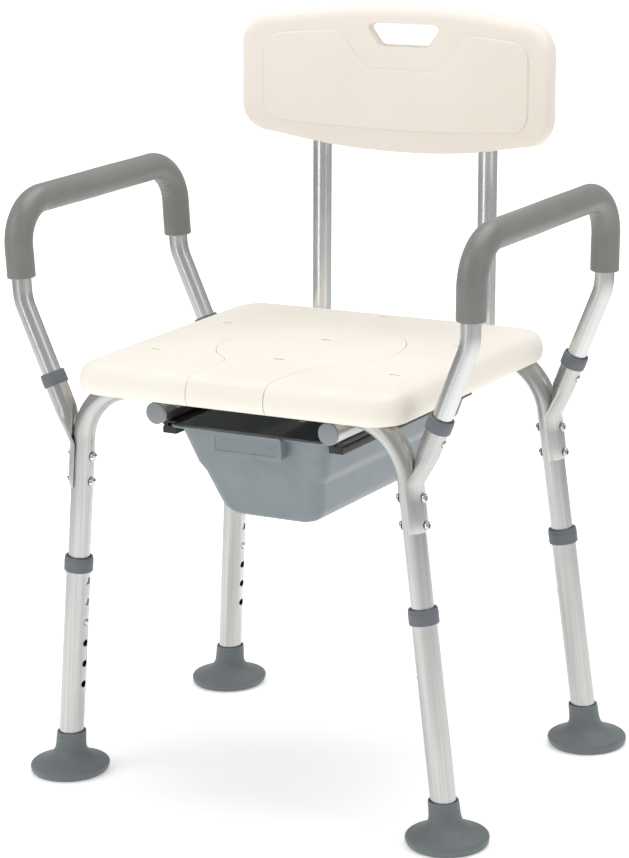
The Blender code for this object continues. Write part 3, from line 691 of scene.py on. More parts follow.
def make_lower_leg(side, end, tag):
    up, out, _ = leg_axes(side, end)
    path = straight(leg_point(side, end, LOWER_END_Z), leg_point(side, end, LOWER_TOP_Z), 8)
    mesh = tube("leg", path, LOWER_R, LOWER_BORE, None, 64, out)
    rods = []
    for step in range(-3, 3):
        middle = leg_point(side, end, BUTTON_Z) + up * HOLE_PITCH * step
        rods.append(hole_rod(middle, -out, LEG_CUT))
    node = "lower_leg_" + tag
    piece(node + "_smooth", carve(mesh, rod_mesh(rods)), SATIN, node)


def make_collar(node, profile, edge, place):
    """Plastic ring with a rolled lip."""
    mesh = lathe("collar", ease(profile, edge), 72, place, closed=True)
    piece(node + "_detail", mesh, GREY, node)


def make_leg_collar(side, end, tag):
    up, out, _ = leg_axes(side, end)
    profile = [(0.0147, -0.0080), (0.0166, -0.0080), (0.0168, -0.0073), (0.0168, 0.0048),
               (0.0163, 0.0053), (0.0163, 0.0061), (0.0166, 0.0067), (0.0160, 0.0091),
               (0.0152, 0.0095), (0.0133, 0.0095), (0.0133, 0.0078), (0.0147, 0.0078)]
    place = place_on(leg_point(side, end, COLLAR_Z), out, up)
    make_collar("leg_collar_" + tag, profile, 0.0007, place)


def make_foot(side, end, tag):
    """Rubber boot on a round suction disc, with a moulded bead at the mouth."""
    outside = smooth_line([(0.0172, 0.0478), (0.0174, 0.0430), (0.0178, 0.0340), (0.0192, 0.0272),
                           (0.0238, 0.0212), (0.0320, 0.0162), (0.0415, 0.0129)], 5)
    mouth = ease([(0.0150, 0.0125), (0.0150, 0.0500), (0.0168, 0.0500), (0.0172, 0.0478)], 0.0008, 4,
                 closed=False)
    rim = smooth_line([(0.0415, 0.0129), (0.0448, 0.0114), (0.0463, 0.0090), (0.0461, 0.0060),
                       (0.0448, 0.0024), (0.0428, 0.0004)], 4)
    under = [(0.0428, 0.0004), (0.0424, 0.0001), (0.0418, 0.0), (0.0376, 0.0), (0.0366, 0.0003),
             (0.0350, 0.0011), (0.0300, 0.0030), (0.0240, 0.0039), (0.0180, 0.0043), (0.0, 0.0046)]
    profile = [(0.0, 0.0125)] + mouth[:-1] + outside[:-1] + rim[:-1] + under
    low = leg_point(side, end, 0.0)
    rise = leg_point(side, end, 1.0) - low
    shear = Matrix.Identity(4)
    shear[0][2], shear[1][2] = rise.x, rise.y
    node = "foot_" + tag
    mesh = lathe("foot", profile, 96, Matrix.Translation(low) @ shear)
    piece(node + "_detail", mesh, RUBBER, node, 60)


def make_clip(node, origin, out, up, sizes):
    """Snap button with a domed head on a folded leaf spring."""
    near, far, tip, width, radius = sizes
    place = place_on(origin, out, up)
    line = smooth_line([(near, -0.0065), (near, 0.0), (near, 0.0065), (near - 0.0010, 0.0170),
                        (near - 0.0030, 0.0228), ((near + far) / 2, 0.0240), (far + 0.0030, 0.0228),
                        (far + 0.0010, 0.0170), (far, 0.0)], 4)
    thick = 0.0004
    left, right = [], []
    for i, (x, z) in enumerate(line):
        ahead, behind = Vector(line[min(i + 1, len(line) - 1)]), Vector(line[max(i - 1, 0)])
        along = (ahead - behind).normalized()
        left.append((x - along.y * thick, z + along.x * thick))
        right.append((x + along.y * thick, z - along.x * thick))
    outline = left + right[::-1]
    edges = (-width / 2, width / 2)
    leaf = skin("leaf", [[place @ Vector((x, y, z)) for x, z in outline] for y in edges])
    reach = tip - near
    head = [(0.0, -0.0002), (radius, -0.0002), (radius, reach - 0.0016)]
    for step in range(1, 8):
        angle = math.radians(90 * step / 7)
        head.append((radius * math.cos(angle), reach - 0.0016 + 0.0016 * math.sin(angle)))
    head[-1] = (0.0, reach)
    turn = Matrix.Rotation(math.radians(90), 4, "Y")
    button = lathe("button", head, 40, place @ Matrix.Translation((near, 0, 0)) @ turn)
    piece(node + "_detail", carve(leaf, button, "UNION"), CHROME, node, 45)


def make_bolt(side, end, height, node):
    """Through-bolt: washer and low domed head inside, washer and socket cap outside."""
    up, out, _ = leg_axes(side, end)
    place = place_on(leg_point(side, end, height), up, out)
    inner = ease([(0.0, -0.0178), (0.0026, -0.0176), (0.0044, -0.0164), (0.0052, -0.0146),
                  (0.0059, -0.0143), (0.0059, -0.0130), (0.0028, -0.0130)], 0.0006, 3, closed=False)
    shank = [(0.0028, 0.0162), (0.0053, 0.0162), (0.0053, 0.0166), (0.0049, 0.0168)]
    dome = [(0.0049, 0.0176), (0.0046, 0.0184), (0.0038, 0.0188), (0.0027, 0.0188), (0.0024, 0.0186),
            (0.0022, 0.0152), (0.0, 0.0150)]
    mesh = lathe("bolt", inner + shank + dome, 36, place)
    piece(node + "_detail", mesh, CHROME, node, 40)


# Arm brackets, arms and grips -------------------------------------------------------------------
def bracket_ring(centre, out, normal, blend, count=72):
    """A ring between the round sleeve (blend 0) and the shell that hugs the leg (blend 1)."""
    ring = []
    half = count // 2
    for i in range(count):
        if i <= half:
            angle = math.radians(-90 + 180 * i / half)
            shell = SHELL_OUT * Vector((math.cos(angle * 0.92), math.sin(angle * 0.92)))
        else:
            angle = math.radians(90 + 180 * (i - half) / (count - half))
            inner = (math.radians(180) - angle) * 0.90
            shell = SHELL_IN * Vector((math.cos(inner), math.sin(inner)))
        flat = (SLEEVE_R * Vector((math.cos(angle), math.sin(angle)))).lerp(shell, blend)
        ring.append(centre + out * flat.x + normal * flat.y)
    return ring


def off_leg(ring, foot, up):
    kept = []
    for point in ring:
        across = (point - foot) - up * (point - foot).dot(up)
        if across.length < LEG_CLEAR:
            point = point + across.normalized() * (LEG_CLEAR - across.length)
        kept.append(point)
    return kept


def make_bracket(side, end, tag):
    leg_up, leg_out, leg_normal = leg_axes(side, end)
    up, out = sleeve_axes(side)
    normal = up.cross(out)
    rings = []
    for along in (SLEEVE_TOP, SLEEVE_TOP - 0.0004, -0.012, -0.024, SLEEVE_END + 0.004, SLEEVE_END):
        ring = bracket_ring(sleeve_point(side, end, along), out, normal, 0.0)
        if along == SLEEVE_TOP:
            middle = sleeve_point(side, end, along)
            ring = [middle + (p - middle) * 0.97 for p in ring]
        rings.append(ring)
    start, stop = sleeve_point(side, end, SLEEVE_END), leg_point(side, end, SHELL_TOP_Z)
    low = leg_point(side, end, SHELL_END_Z)
    for step in range(1, 17):
        t = step / 16
        blend = t ** 1.7
        mix_out = out.lerp(leg_out, t).normalized()
        mix_normal = normal.lerp(leg_normal, t).normalized()
        early = start.lerp(start + (start - sleeve_point(side, end, 0)).normalized() * 0.012, t)
        centre = early.lerp(start.lerp(stop, t), min(1.0, t * 1.6))
        ring = bracket_ring(centre, mix_out, mix_normal, blend)
        rings.append(off_leg(ring, leg_point(side, end, 0), leg_up))
    for share, thin in ((0.35, 0.0), (0.70, 0.0), (0.85, 0.0004), (0.97, 0.0013), (1.0, 0.0019)):
        ring = bracket_ring(stop.lerp(low, share), leg_out, leg_normal, 1.0)
        count = len(ring) // 2
        middle = stop.lerp(low, share)
        for i in range(1, count):
            ring[i] = ring[i] + (middle - ring[i]).normalized() * thin
        rings.append(ring)
    mesh = skin("bracket", rings)
    button = sleeve_point(side, end, ARM_CLIP)
    bore = [(sleeve_point(side, end, SLEEVE_END + 0.001), sleeve_point(side, end, 0.02), SLEEVE_BORE)]
    mesh = carve(mesh, rod_mesh(bore, 64))
    rods = [hole_rod(button, out, FRAME_CUT)]
    mesh = carve(mesh, rod_mesh(rods))
    node = "arm_bracket_" + tag
    piece(node + "_detail", mesh, SATIN, node, 42)


def make_arm_collar(side, end, tag):
    up, out = sleeve_axes(side)
    profile = [(0.0131, -0.0082), (0.0144, -0.0082), (0.0146, -0.0076), (0.0146, 0.0030),
               (0.0142, 0.0034), (0.0142, 0.0041), (0.0145, 0.0046), (0.0139, 0.0070),
               (0.0132, 0.0073), (0.0115, 0.0073), (0.0115, 0.0054), (0.0131, 0.0054)]
    place = place_on(sleeve_point(side, end, 0.0), out, up)
    make_collar("arm_collar_" + tag, profile, 0.0006, place)


def arm_path(side, steps=20):
    points = []
    for end, _ in ENDS:
        bend = at(side * ARM_BEND[0], SLEEVE_Y[end], ARM_BEND[1])
        top = at(side * ARM_TOP[0], SLEEVE_Y[end], ARM_TOP[1])
        run = [sleeve_point(side, end, ARM_END), bend, top]
        points += run if end == "f" else run[::-1]
    return arc_corners(points, (0.060, 0.050, 0.050, 0.060), steps)


def make_arm(side, tag):
    node = "arm_tube_" + tag
    mesh = tube(node, arm_path(side), ARM_R, ARM_BORE, OPEN_DEPTH, 56, Vector((-side, 0, 0)))
    _, out = sleeve_axes(side)
    rods = []
    for end, _ in ENDS:
        button = sleeve_point(side, end, ARM_CLIP)
        rods.append(hole_rod(button, out, ARM_CUT))
    piece(node + "_smooth", carve(mesh, rod_mesh(rods)), ARM_TUBE, node)


def upright_point(side, end, z):
    share = (z - ARM_BEND[1]) / (ARM_TOP[1] - ARM_BEND[1])
    return at(side * (ARM_BEND[0] + share * (ARM_TOP[0] - ARM_BEND[0])), SLEEVE_Y[end], z)


def make_grip(side, tag):
    """Foam sleeve: flat cut ends, soft lumps, and small folds inside both bends."""
    bends = [p for p in arm_path(side, 30) if p.z > 0.6]
    run = [upright_point(side, "f", GRIP_END_Z["f"]), *bends, upright_point(side, "r", GRIP_END_Z["r"])]
    path = []
    for a, b in zip(run, run[1:]):
        pieces_here = max(1, int((b - a).length / 0.003))
        path += [a.lerp(b, k / pieces_here) for k in range(pieces_here)]
    path.append(run[-1])
    stops = travel_of(path)
    total = stops[-1]
    bent = []
    for i in range(len(path)):
        a, b = path[max(i - 2, 0)], path[min(i + 2, len(path) - 1)]
        c = path[i]
        turn = (c - a).angle(b - c, 0.0) if (c - a).length > 1e-6 and (b - c).length > 1e-6 else 0.0
        bent.append(min(1.0, turn / 0.11))
    bent = np.convolve(np.array(bent), np.ones(5) / 5, mode="same")

    def outer(angle, s):
        fold = float(np.interp(s, stops, bent))
        inward = max(0.0, -math.cos(angle)) ** 2
        ripple = 0.5 + 0.5 * math.sin(s * math.tau / 0.0085 + 0.8 * math.sin(s * 60))
        lump = 0.00010 * math.sin(s * 37 + 2 * math.sin(angle)) + 0.00008 * math.sin(3 * angle + s * 61)
        edge = min(s, total - s)
        ease_in = 0.0009 * max(0.0, 1 - edge / 0.0011) ** 2
        return GRIP_R - 0.0002 + lump - fold * inward * (0.00035 + 0.00075 * ripple) - ease_in

    bore = GRIP_R - GRIP_WALL - 0.0002
    sections = [(s, outer) for s in [0.0, 0.0003, 0.0007, 0.0012] + stops[1:-1]]
    sections = [s for s in sections if s[0] <= total - 0.0013]
    sections += [(total - d, outer) for d in (0.0012, 0.0007, 0.0003, 0.0)]
    sections += [(s, bore) for s in (total, total - 0.002) + tuple(stops[-3:1:-4]) + (0.002, 0.0)]
    mesh = foam_mesh("grip", path, sections, 64)
    node = "arm_grip_" + tag
    thing = piece(node + "_foam", mesh, FOAM, node, 50)


def foam_mesh(name, path, sections, count):
    """Sweep a closed chain of sections; angle 0 points away from the middle of the bend."""
    centre = sum(path, Vector()) / len(path)
    travel = travel_of(path)
    rings = []
    plane = (path[-1] - path[0]).cross(path[len(path) // 2] - path[0]).normalized()
    for s, radius in sections:
        k = int(np.clip(np.searchsorted(travel, s, side="right") - 1, 0, len(path) - 2))
        f = (s - travel[k]) / (travel[k + 1] - travel[k])
        point = path[k].lerp(path[k + 1], f)
        before, after = path[max(k - 1, 0)], path[min(k + 2, len(path) - 1)]
        t = (after - before).normalized()
        a = plane.cross(t).normalized()
        if a.dot(point - centre) < 0:
            a = -a
        b = t.cross(a)
        rings.append([point + (a * math.cos(w) + b * math.sin(w))
                      * (radius(w, s) if callable(radius) else radius)
                      for w in (math.tau * i / count for i in range(count))])
    return skin(name, rings, [s for s, _ in sections], loop=True)


# Rails, slides and back -------------------------------------------------------------------------
def make_rail(side, tag):
    node = "seat_rail_" + tag
    path = straight(at(side * RAIL_X, RAIL_FRONT, RAIL_Z), at(side * RAIL_X, RAIL_REAR, RAIL_Z), 10)
    mesh = tube("rail", path, RAIL_R, SLEEVE_BORE, None, 64, Vector((0, 0, 1)))
    button = at(side * RAIL_X, POST_CLIP, RAIL_Z)
    out = Vector((side, 0, 0))
    mesh = carve(mesh, rod_mesh([hole_rod(button, out, FRAME_CUT)]))
    piece(node + "_smooth", mesh, SATIN, node)


def make_plug(side, tag):
    """Push-in end cap with ribs on its spigot and a slightly crowned face."""
    node = "rail_plug_" + tag
    profile = [(0.0, -0.0140)] + ease([(0.0100, -0.0140), (0.0108, -0.0120), (0.0104, -0.0100),
                                       (0.0108, -0.0080), (0.0104, -0.0060), (0.0108, -0.0040),
                                       (0.0108, 0.0004), (0.0126, 0.0004), (0.0126, 0.0024),
                                       (0.0117, 0.0032), (0.0060, 0.0035)], 0.0005, 3, closed=False)
    profile.append((0.0, 0.0036))
    place = place_on(at(side * RAIL_X, RAIL_FRONT, RAIL_Z), Vector((1, 0, 0)), Vector((0, -1, 0)))
    piece(node + "_detail", lathe("plug", profile, 64, place), PLUG_GREY, node, 45)


def make_slide(side, tag):
    """Extruded channel with a slot for the bucket's flange and a shallow groove outside."""
    node = "bucket_slide_" + tag
    inner, outer = SLIDE_X
    low, high = SLIDE_Z
    slot_x, slot_low, slot_high = FLANGE_X + 0.0012, FLANGE_Z[0] - 0.0004, FLANGE_Z[1] + 0.0007
    section = ease([(inner, low), (outer, low), (outer, 0.4245), (outer - 0.0016, 0.4252),
                    (outer - 0.0016, 0.4268), (outer, 0.4275), (outer, high), (inner, high),
                    (inner, slot_high), (slot_x, slot_high), (slot_x, slot_low), (inner, slot_low)],
                   0.0006, 3)
    rings = []
    ease_by = 0.0004
    middle = Vector(((inner + outer) / 2, (low + high) / 2))
    for y, shrink in ((-SLIDE_Y, ease_by), (ease_by - SLIDE_Y, 0),
                      (SLIDE_Y - ease_by, 0), (SLIDE_Y, ease_by)):
        ring = []
        for x, z in section:
            p = Vector((x, z))
            p = p + (middle - p).normalized() * shrink
            ring.append(at(side * p.x, y, p.y))
        rings.append(ring)
    mesh = skin("slide", rings)
    piece(node + "_detail", mesh, BLACK, node, 40)


def post_path(side):
    corner = at(side * RAIL_X, POST_Y, RAIL_Z)
    front = at(side * RAIL_X, POST_FRONT, RAIL_Z)
    top = at(side * RAIL_X, POST_Y + POST_LEAN * (POST_TOP_Z - RAIL_Z), POST_TOP_Z)
    return arc_corners([front, corner, top], (0.034,), 22)


def make_post(side, tag):
    node = "back_post_" + tag
    mesh = tube(node, post_path(side), ARM_R, ARM_BORE, OPEN_DEPTH, 56, Vector((-side, 0, 0)))
    button = at(side * RAIL_X, POST_CLIP, RAIL_Z)
    out = Vector((side, 0, 0))
    mesh = carve(mesh, rod_mesh([hole_rod(button, out, ARM_CUT)]))
    piece(node + "_smooth", mesh, TUBE, node)


def bow(x, height):
    s = min(abs(x) / 0.185, 1.0)
    return height * (1 - s * s) ** 2 * (1 + s * s)


def edge_z(x, top):
    """Height of the panel's top or bottom edge at x."""
    flat = BACK_X - BACK_CORNER
    drop = 0.0
    if abs(x) > flat:
        drop = BACK_CORNER - math.sqrt(max(0.0, BACK_CORNER ** 2 - (abs(x) - flat) ** 2))
    if top:
        return BACK_TOP + bow(x, TOP_BOW) - drop
    return BACK_BOTTOM - bow(x, BOTTOM_BOW) + drop


FIELD_X = 0.1760
FIELD_CORNER = 0.0200


def field_z(x, top):
    """Top or bottom of the raised field: it dips below the hand hole."""
    x = min(abs(x), FIELD_X)
    turn = max(0.0, x - (FIELD_X - FIELD_CORNER))
    round_off = FIELD_CORNER - math.sqrt(max(0.0, FIELD_CORNER ** 2 - turn ** 2))
    if not top:
        return 0.7130 + 0.0110 * (x / FIELD_X) ** 2 + round_off
    high = 0.8220 + 0.0080 * (1 - (x / FIELD_X) ** 2)
    s = min(max((x - 0.0400) / 0.0530, 0.0), 1.0)
    return 0.7830 + (high - 0.7830) * s * s * (3 - 2 * s) - round_off


def spread(low, high, count, density):
    """Positions from low to high, closer together where density is high."""
    fine = np.linspace(low, high, 1500)
    mass = np.array([density(v) for v in fine])
    total = np.concatenate([[0], np.cumsum((mass[1:] + mass[:-1]) / 2)])
    return np.interp(np.linspace(0, total[-1], count), total, fine)


def back_surface(x, z, front):
    """Front or rear surface point of the backrest at x, z."""
    top, bottom = edge_z(x, True), edge_z(x, False)
    d = min(BACK_X - abs(x), top - z, z - bottom)
    flat = BACK_X - BACK_CORNER
    if abs(x) > flat:
        for z_edge, sign in ((BACK_TOP, 1), (BACK_BOTTOM, -1)):
            centre = z_edge - sign * BACK_CORNER
            if (z - centre) * sign > 0:
                d = min(d, BACK_CORNER - math.hypot(abs(x) - flat, z - centre))
    d = max(d, 0.0)
    reach = min(d / 0.0125, 1.0)
    edge = 0.0032
    if z < BACK_BOTTOM + BACK_CORNER:
        t = min(max((0.190 - abs(x)) / 0.055, 0.0), 1.0)
        edge += 0.0090 * t * t * (3 - 2 * t)
    half = edge + (BACK_HALF - edge) * math.sqrt(max(0.0, 1 - (1 - reach) ** 2))
    if front:
        inside = min(FIELD_X - abs(x), (field_z(x, True) - z), (z - field_z(x, False)))
        step = min(max((inside + 0.0013) / 0.0026, 0.0), 1.0)
        half += 0.0022 * step * step * (3 - 2 * step) - 0.0022
    middle = POST_Y + POST_LEAN * (z - RAIL_Z) + BACK_BOW * (RAIL_X ** 2 - x * x)
    return at(x, middle + (-half if front else half), z)


def make_backrest():
    def column_density(x):
        near = math.exp(-((abs(x) - FIELD_X) / 0.0028) ** 2)
        corner = math.exp(-((abs(x) - 0.168) / 0.010) ** 2)
        dip = math.exp(-((abs(x) - 0.066) / 0.030) ** 2)
        return 1 + 7 * near + 2.2 * corner + 0.8 * dip + 4 * math.exp(-(BACK_X - abs(x)) / 0.004)

    columns = spread(-BACK_X, BACK_X, 221, column_density)
    grid = []
    for x in columns:
        bottom, top = edge_z(x, False), edge_z(x, True)
        low, high = field_z(x, False), field_z(x, True)

        def row_density(z):
            near = math.exp(-((z - low) / 0.0026) ** 2) + math.exp(-((z - high) / 0.0026) ** 2)
            rims = math.exp(-(z - bottom) / 0.004) + math.exp(-(top - z) / 0.004)
            return 1 + 7 * near + 4 * rims

        grid.append([(x, z) for z in spread(bottom, top, 101, row_density)])
    wide, tall = len(grid), len(grid[0])
    verts, faces = [], []
    for front in (True, False):
        for column in grid:
            verts += [back_surface(x, z, front) for x, z in column]
    for sheet in (0, 1):
        base = sheet * wide * tall
        for i in range(wide - 1):
            for j in range(tall - 1):
                a = base + i * tall + j
                quad = (a, a + tall, a + tall + 1, a + 1)
                faces.append(quad if sheet == 0 else quad[::-1])
    border = [i * tall for i in range(wide)]
    border += [(wide - 1) * tall + j for j in range(1, tall)]
    border += [i * tall + tall - 1 for i in range(wide - 2, -1, -1)]
    border += list(range(tall - 2, 0, -1))
    rear = wide * tall
    for a, b in zip(border, border[1:] + border[:1]):
        faces.append((a, rear + a, rear + b, b))
    mesh = bpy.data.meshes.new("backrest")
    mesh.from_pydata([tuple(v) for v in verts], [], faces)
    tidy(mesh)
    mesh = carve(mesh, hand_hole())
    piece("backrest_panel_detail", mesh, BACK_IVORY, "backrest_panel", 62)


def hand_hole():
    """Cutter for the grip slot: a rounded trapezoid that flares in front and wider at the rear."""
    wide, top = HAND_TOP
    narrow, low = HAND_BOTTOM
    corners = [(wide, top, 0.0075), (-wide, top, 0.0075), (-narrow, low, 0.0080), (narrow, low, 0.0080)]
    outline = ease(corners, 0.008, 9)
    centre_z = (top + low) / 2
    middle_y = POST_Y + POST_LEAN * (centre_z - RAIL_Z) + BACK_BOW * RAIL_X ** 2
    profile = [(-0.060, FRONT_FLARE, FRONT_FLARE), (-0.0185, FRONT_FLARE, FRONT_FLARE)]
    for step in range(10):
        angle = math.radians(90 * step / 9)
        flare = FRONT_FLARE * (1 - math.sin(angle)) ** 1.3
        profile.append((-0.0180 + 0.0110 * math.sin(angle), flare, flare))
    for step in range(1, 9):
        t = step / 8
        profile.append((-0.0070 + 0.0250 * t, REAR_FLARE_X * t, REAR_FLARE_Z * t))
    profile.append((0.060, REAR_FLARE_X, REAR_FLARE_Z))
    rings = []
    for depth, flare_x, flare_z in profile:
        ring = []
        for x, z in outline:
            away = Vector((x, z - centre_z)).normalized()
            ring.append(at(x + away.x * flare_x, middle_y + depth, z + away.y * flare_z))
        rings.append(ring)
    return skin("hand_hole", rings)


# Seat, cover and bucket -----------------------------------------------------------------------
def slab_rings():
    line = smooth_line([(0.0110, 0.4665), (0.0092, 0.4653), (0.0070, 0.4650), (0.0040, 0.4661),
                        (0.0020, 0.4690), (0.0004, 0.4735), (0.0, 0.4790), (0.0014, 0.4870),
                        (0.0062, 0.4944), (0.0140, 0.4981), (0.0225, SEAT_TOP - 0.0001)], 4)
    steps = [(0.0110, SEAT_UNDER)] + line + [(0.0260, SEAT_TOP)]
    rings = []
    for inset, z in steps:
        outline = rounded_rect(SEAT_X - inset, SEAT_FRONT + inset, SEAT_REAR - inset,
                               SEAT_CORNER - inset, 16)
        rings.append([at(x, y, z) for x, y in outline])
    return rings


def keyhole(offset, steps=96):
    radius, half, fillet = LID_R + offset, TONGUE_X + offset, TONGUE_FILLET - offset
    reach = radius + fillet
    fillet_y = LID_Y - math.sqrt(reach ** 2 - (half + fillet) ** 2)
    swing = math.atan2(fillet_y - LID_Y, half + fillet)
    outline = []
    for step in range(steps + 1):
        angle = swing + (math.pi - 2 * swing) * step / steps
        outline.append((radius * math.cos(angle), LID_Y + radius * math.sin(angle)))
    side = []
    for step in range(1, 15):
        angle = -swing * (1 - step / 14)
        side.append((-(half + fillet) + fillet * math.cos(angle), fillet_y + fillet * math.sin(angle)))
    front = SEAT_FRONT - 0.02
    outline += side + [(-half, front), (half, front)]
    return outline + [(-x, y) for x, y in side[::-1]]


def slots(places):
    """Drain slots as stadium-shaped cutters, joined in one mesh."""
    bm = bmesh.new()
    for x, y in places:
        path = []
        for step in range(20):
            angle = math.radians(-90 + 180 / 9 * (step % 10) + 180 * (step // 10))
            shift = SLOT_HALF if step < 10 else -SLOT_HALF
            path.append((x + shift + SLOT_R * math.cos(angle), y + SLOT_R * math.sin(angle)))
        rows = [[bm.verts.new(at(px, py, z)) for px, py in path] for z in (0.47, 0.51)]
        for i in range(20):
            j = (i + 1) % 20
            bm.faces.new((rows[0][i], rows[0][j], rows[1][j], rows[1][i]))
        bm.faces.new(rows[0][::-1])
        bm.faces.new(rows[1])
    bmesh.ops.recalc_face_normals(bm, faces=bm.faces)
    mesh = bpy.data.meshes.new("slots")
    bm.to_mesh(mesh)
    bm.free()
    return mesh


def tongue_box(half, front, lip, low, high):
    return prism("box", [(half, front), (half, lip), (-half, lip), (-half, front)], low, high)


def make_seat():
    mesh = skin("seat", slab_rings())
    mesh = carve(mesh, prism("wide_well", keyhole(0.0002), LEDGE_Z, 0.53))
    well = prism("well", keyhole(-0.008), 0.44, 0.53)
    mouth = tongue_box(TONGUE_X + 0.0002, SEAT_FRONT - 0.03, LIP_DEPTH_Y, 0.43, 0.54)
    well = carve(well, mouth, "UNION")
    mesh = carve(mesh, well)
    places = [(side * 0.155, y) for side in (-1, 1) for y in (-0.100, 0.050)] + [(0.0, 0.153)]
    mesh = carve(mesh, slots(places))
    mesh = soften(mesh, 0.0011, 4)
    piece("seat_panel_detail", mesh, SEAT_IVORY, "seat_panel", 0)


def make_cover():
    mesh = skin("cover", slab_rings())
    mesh = carve(mesh, prism("shape", keyhole(-0.0002), 0.44, 0.53), "INTERSECT")
    plug = prism("plug", keyhole(-0.0088), 0.43, LEDGE_Z + 0.0003)
    lip = tongue_box(TONGUE_X - 0.0006, SEAT_FRONT - 0.03, LIP_DEPTH_Y - 0.0006, 0.42, LEDGE_Z + 0.001)
    plug = carve(plug, lip, "UNION")
    trim = prism("trim", [(0.2, -0.3), (0.2, 0.2), (-0.2, 0.2), (-0.2, -0.3)], 0.45, LEDGE_Z + 0.0003)
    trim = carve(trim, plug)
    mesh = carve(mesh, trim)
    mesh = carve(mesh, slots([(0.0, 0.018), (0.0, -0.087)]))
    mesh = soften(mesh, 0.0011, 4)
    piece("seat_cover_detail", mesh, SEAT_IVORY, "seat_cover", 0)


def make_seat_screw(side, end, tag):
    profile = ease([(0.0, -0.0148), (0.0030, -0.0147), (0.0042, -0.0142), (0.0046, -0.0134),
                    (0.0021, -0.0134), (0.0021, 0.0130)], 0.0004, 3, closed=False) + [(0.0, 0.0130)]
    spot = leg_point(side, end, CROSS_Z)
    spot.x = side * SCREW_X
    node = "seat_screw_" + tag
    mesh = lathe("screw", profile, 28, Matrix.Translation(spot))
    piece(node + "_detail", mesh, ZINC, node)


def make_bucket():
    """Moulded pail: rolled flange, shoulder, rounded floor and a pull plate with eased edges."""
    levels = [(0.0420, -0.1070, 0.1080, 0.3205, 0.009), (0.0480, -0.1110, 0.1115, 0.3212, 0.010),
              (0.0545, -0.1142, 0.1145, 0.3232, 0.011), (0.0600, -0.1168, 0.1172, 0.3265, 0.013),
              (0.0642, -0.1190, 0.1195, 0.3310, 0.014), (0.0668, -0.1208, 0.1212, 0.3360, 0.015),
              (0.0682, -0.1226, 0.1228, 0.3405, 0.015), (0.0765, -0.1345, 0.1370, 0.3710, 0.015),
              (0.0775, -0.1353, 0.1395, 0.3738, 0.015), (0.0795, -0.1362, 0.1450, 0.3760, 0.015),
              (0.0830, -0.1378, 0.1780, 0.3812, 0.015), (0.0848, -0.1388, 0.1845, 0.3840, 0.015),
              (0.0858, -0.1400, 0.1862, 0.3880, 0.015), (0.0960, -0.1507, 0.1953, 0.4235, 0.015)]
    flange = [(0.0975, -0.1515, 0.1960, 0.4256, 0.015), (0.0995, -0.1530, 0.1972, 0.4262, 0.016),
              (0.1078, -0.1558, 0.1998, 0.4262, 0.017), (0.1087, -0.1567, 0.2007, 0.4266, 0.018),
              (0.1090, -0.1570, 0.2010, 0.4276, 0.018), (0.1087, -0.1567, 0.2007, 0.4286, 0.018),
              (0.1078, -0.1558, 0.1998, 0.4290, 0.017)]
    mouth = [(0.0965, -0.1502, 0.1945, 0.4290, 0.013), (0.0950, -0.1488, 0.1935, 0.4280, 0.013)]
    wall, rise = 0.0022, 0.0024
    inside = [(x - wall, front + wall, rear - wall, z + rise, corner - 0.002)
              for x, front, rear, z, corner in levels[-2::-1]]
    rings = []
    for half_x, front, rear, z, corner in levels + flange + mouth + inside:
        rings.append([at(x, y, z) for x, y in rounded_rect(half_x, front, rear, corner, 12)])
    mesh = skin("bucket", rings)
    plate = ease([(0.045, 0.4040), (-0.045, 0.4040), (-0.045, 0.4288), (0.045, 0.4288)], 0.004, 6)
    depth = [(-0.1628, -0.0010), (-0.1622, 0.0), (-0.1495, 0.0)]
    plate_rings = []
    for y, grow in depth:
        plate_rings.append([at(x + math.copysign(grow, x), y, z + math.copysign(grow, z - 0.4165))
                            for x, z in plate])
    mesh = carve(mesh, skin("plate", plate_rings), "UNION")
    panel = ease([(0.0395, 0.4085), (-0.0395, 0.4085), (-0.0395, 0.4245), (0.0395, 0.4245)], 0.003, 6)
    recess = skin("recess", [[at(x, y, z) for x, z in panel] for y in (-0.170, -0.1622)])
    mesh = carve(mesh, recess)
    piece("bucket_detail", soften(mesh, 0.0004, 2, 50), BUCKET, "bucket", 0)


# Build ----------------------------------------------------------------------------------------
def make_all():
    make_frame("f", "front_frame_tube")
    make_frame("r", "rear_frame_tube")
    for side, side_tag in SIDES:
        for end, end_tag in ENDS:
            tag = end_tag + "_" + side_tag
            up, out, _ = leg_axes(side, end)
            make_lower_leg(side, end, tag)
            make_leg_collar(side, end, tag)
            make_foot(side, end, tag)
            make_clip("leg_clip_" + tag, leg_point(side, end, BUTTON_Z), -out, up, LEG_CLIP_SIZES)
            make_bracket(side, end, tag)
            make_arm_collar(side, end, tag)
            make_bolt(side, end, BOLT_Z[0], "upper_bolt_" + tag)
            make_bolt(side, end, BOLT_Z[1], "lower_bolt_" + tag)
            arm_up, arm_out = sleeve_axes(side)
            make_clip("arm_clip_" + tag, sleeve_point(side, end, ARM_CLIP), arm_out, arm_up,
                      TUBE_CLIP_SIZES)
            make_seat_screw(side, end, tag)
        make_arm(side, side_tag)
        make_grip(side, side_tag)
        make_rail(side, side_tag)
        make_plug(side, side_tag)
        make_slide(side, side_tag)
        make_post(side, side_tag)
        make_clip("back_clip_" + side_tag, at(side * RAIL_X, POST_CLIP, RAIL_Z), Vector((side, 0, 0)),
                  Vector((0, 1, 0)), TUBE_CLIP_SIZES)
    make_seat()
    make_cover()
    make_bucket()
    make_backrest()


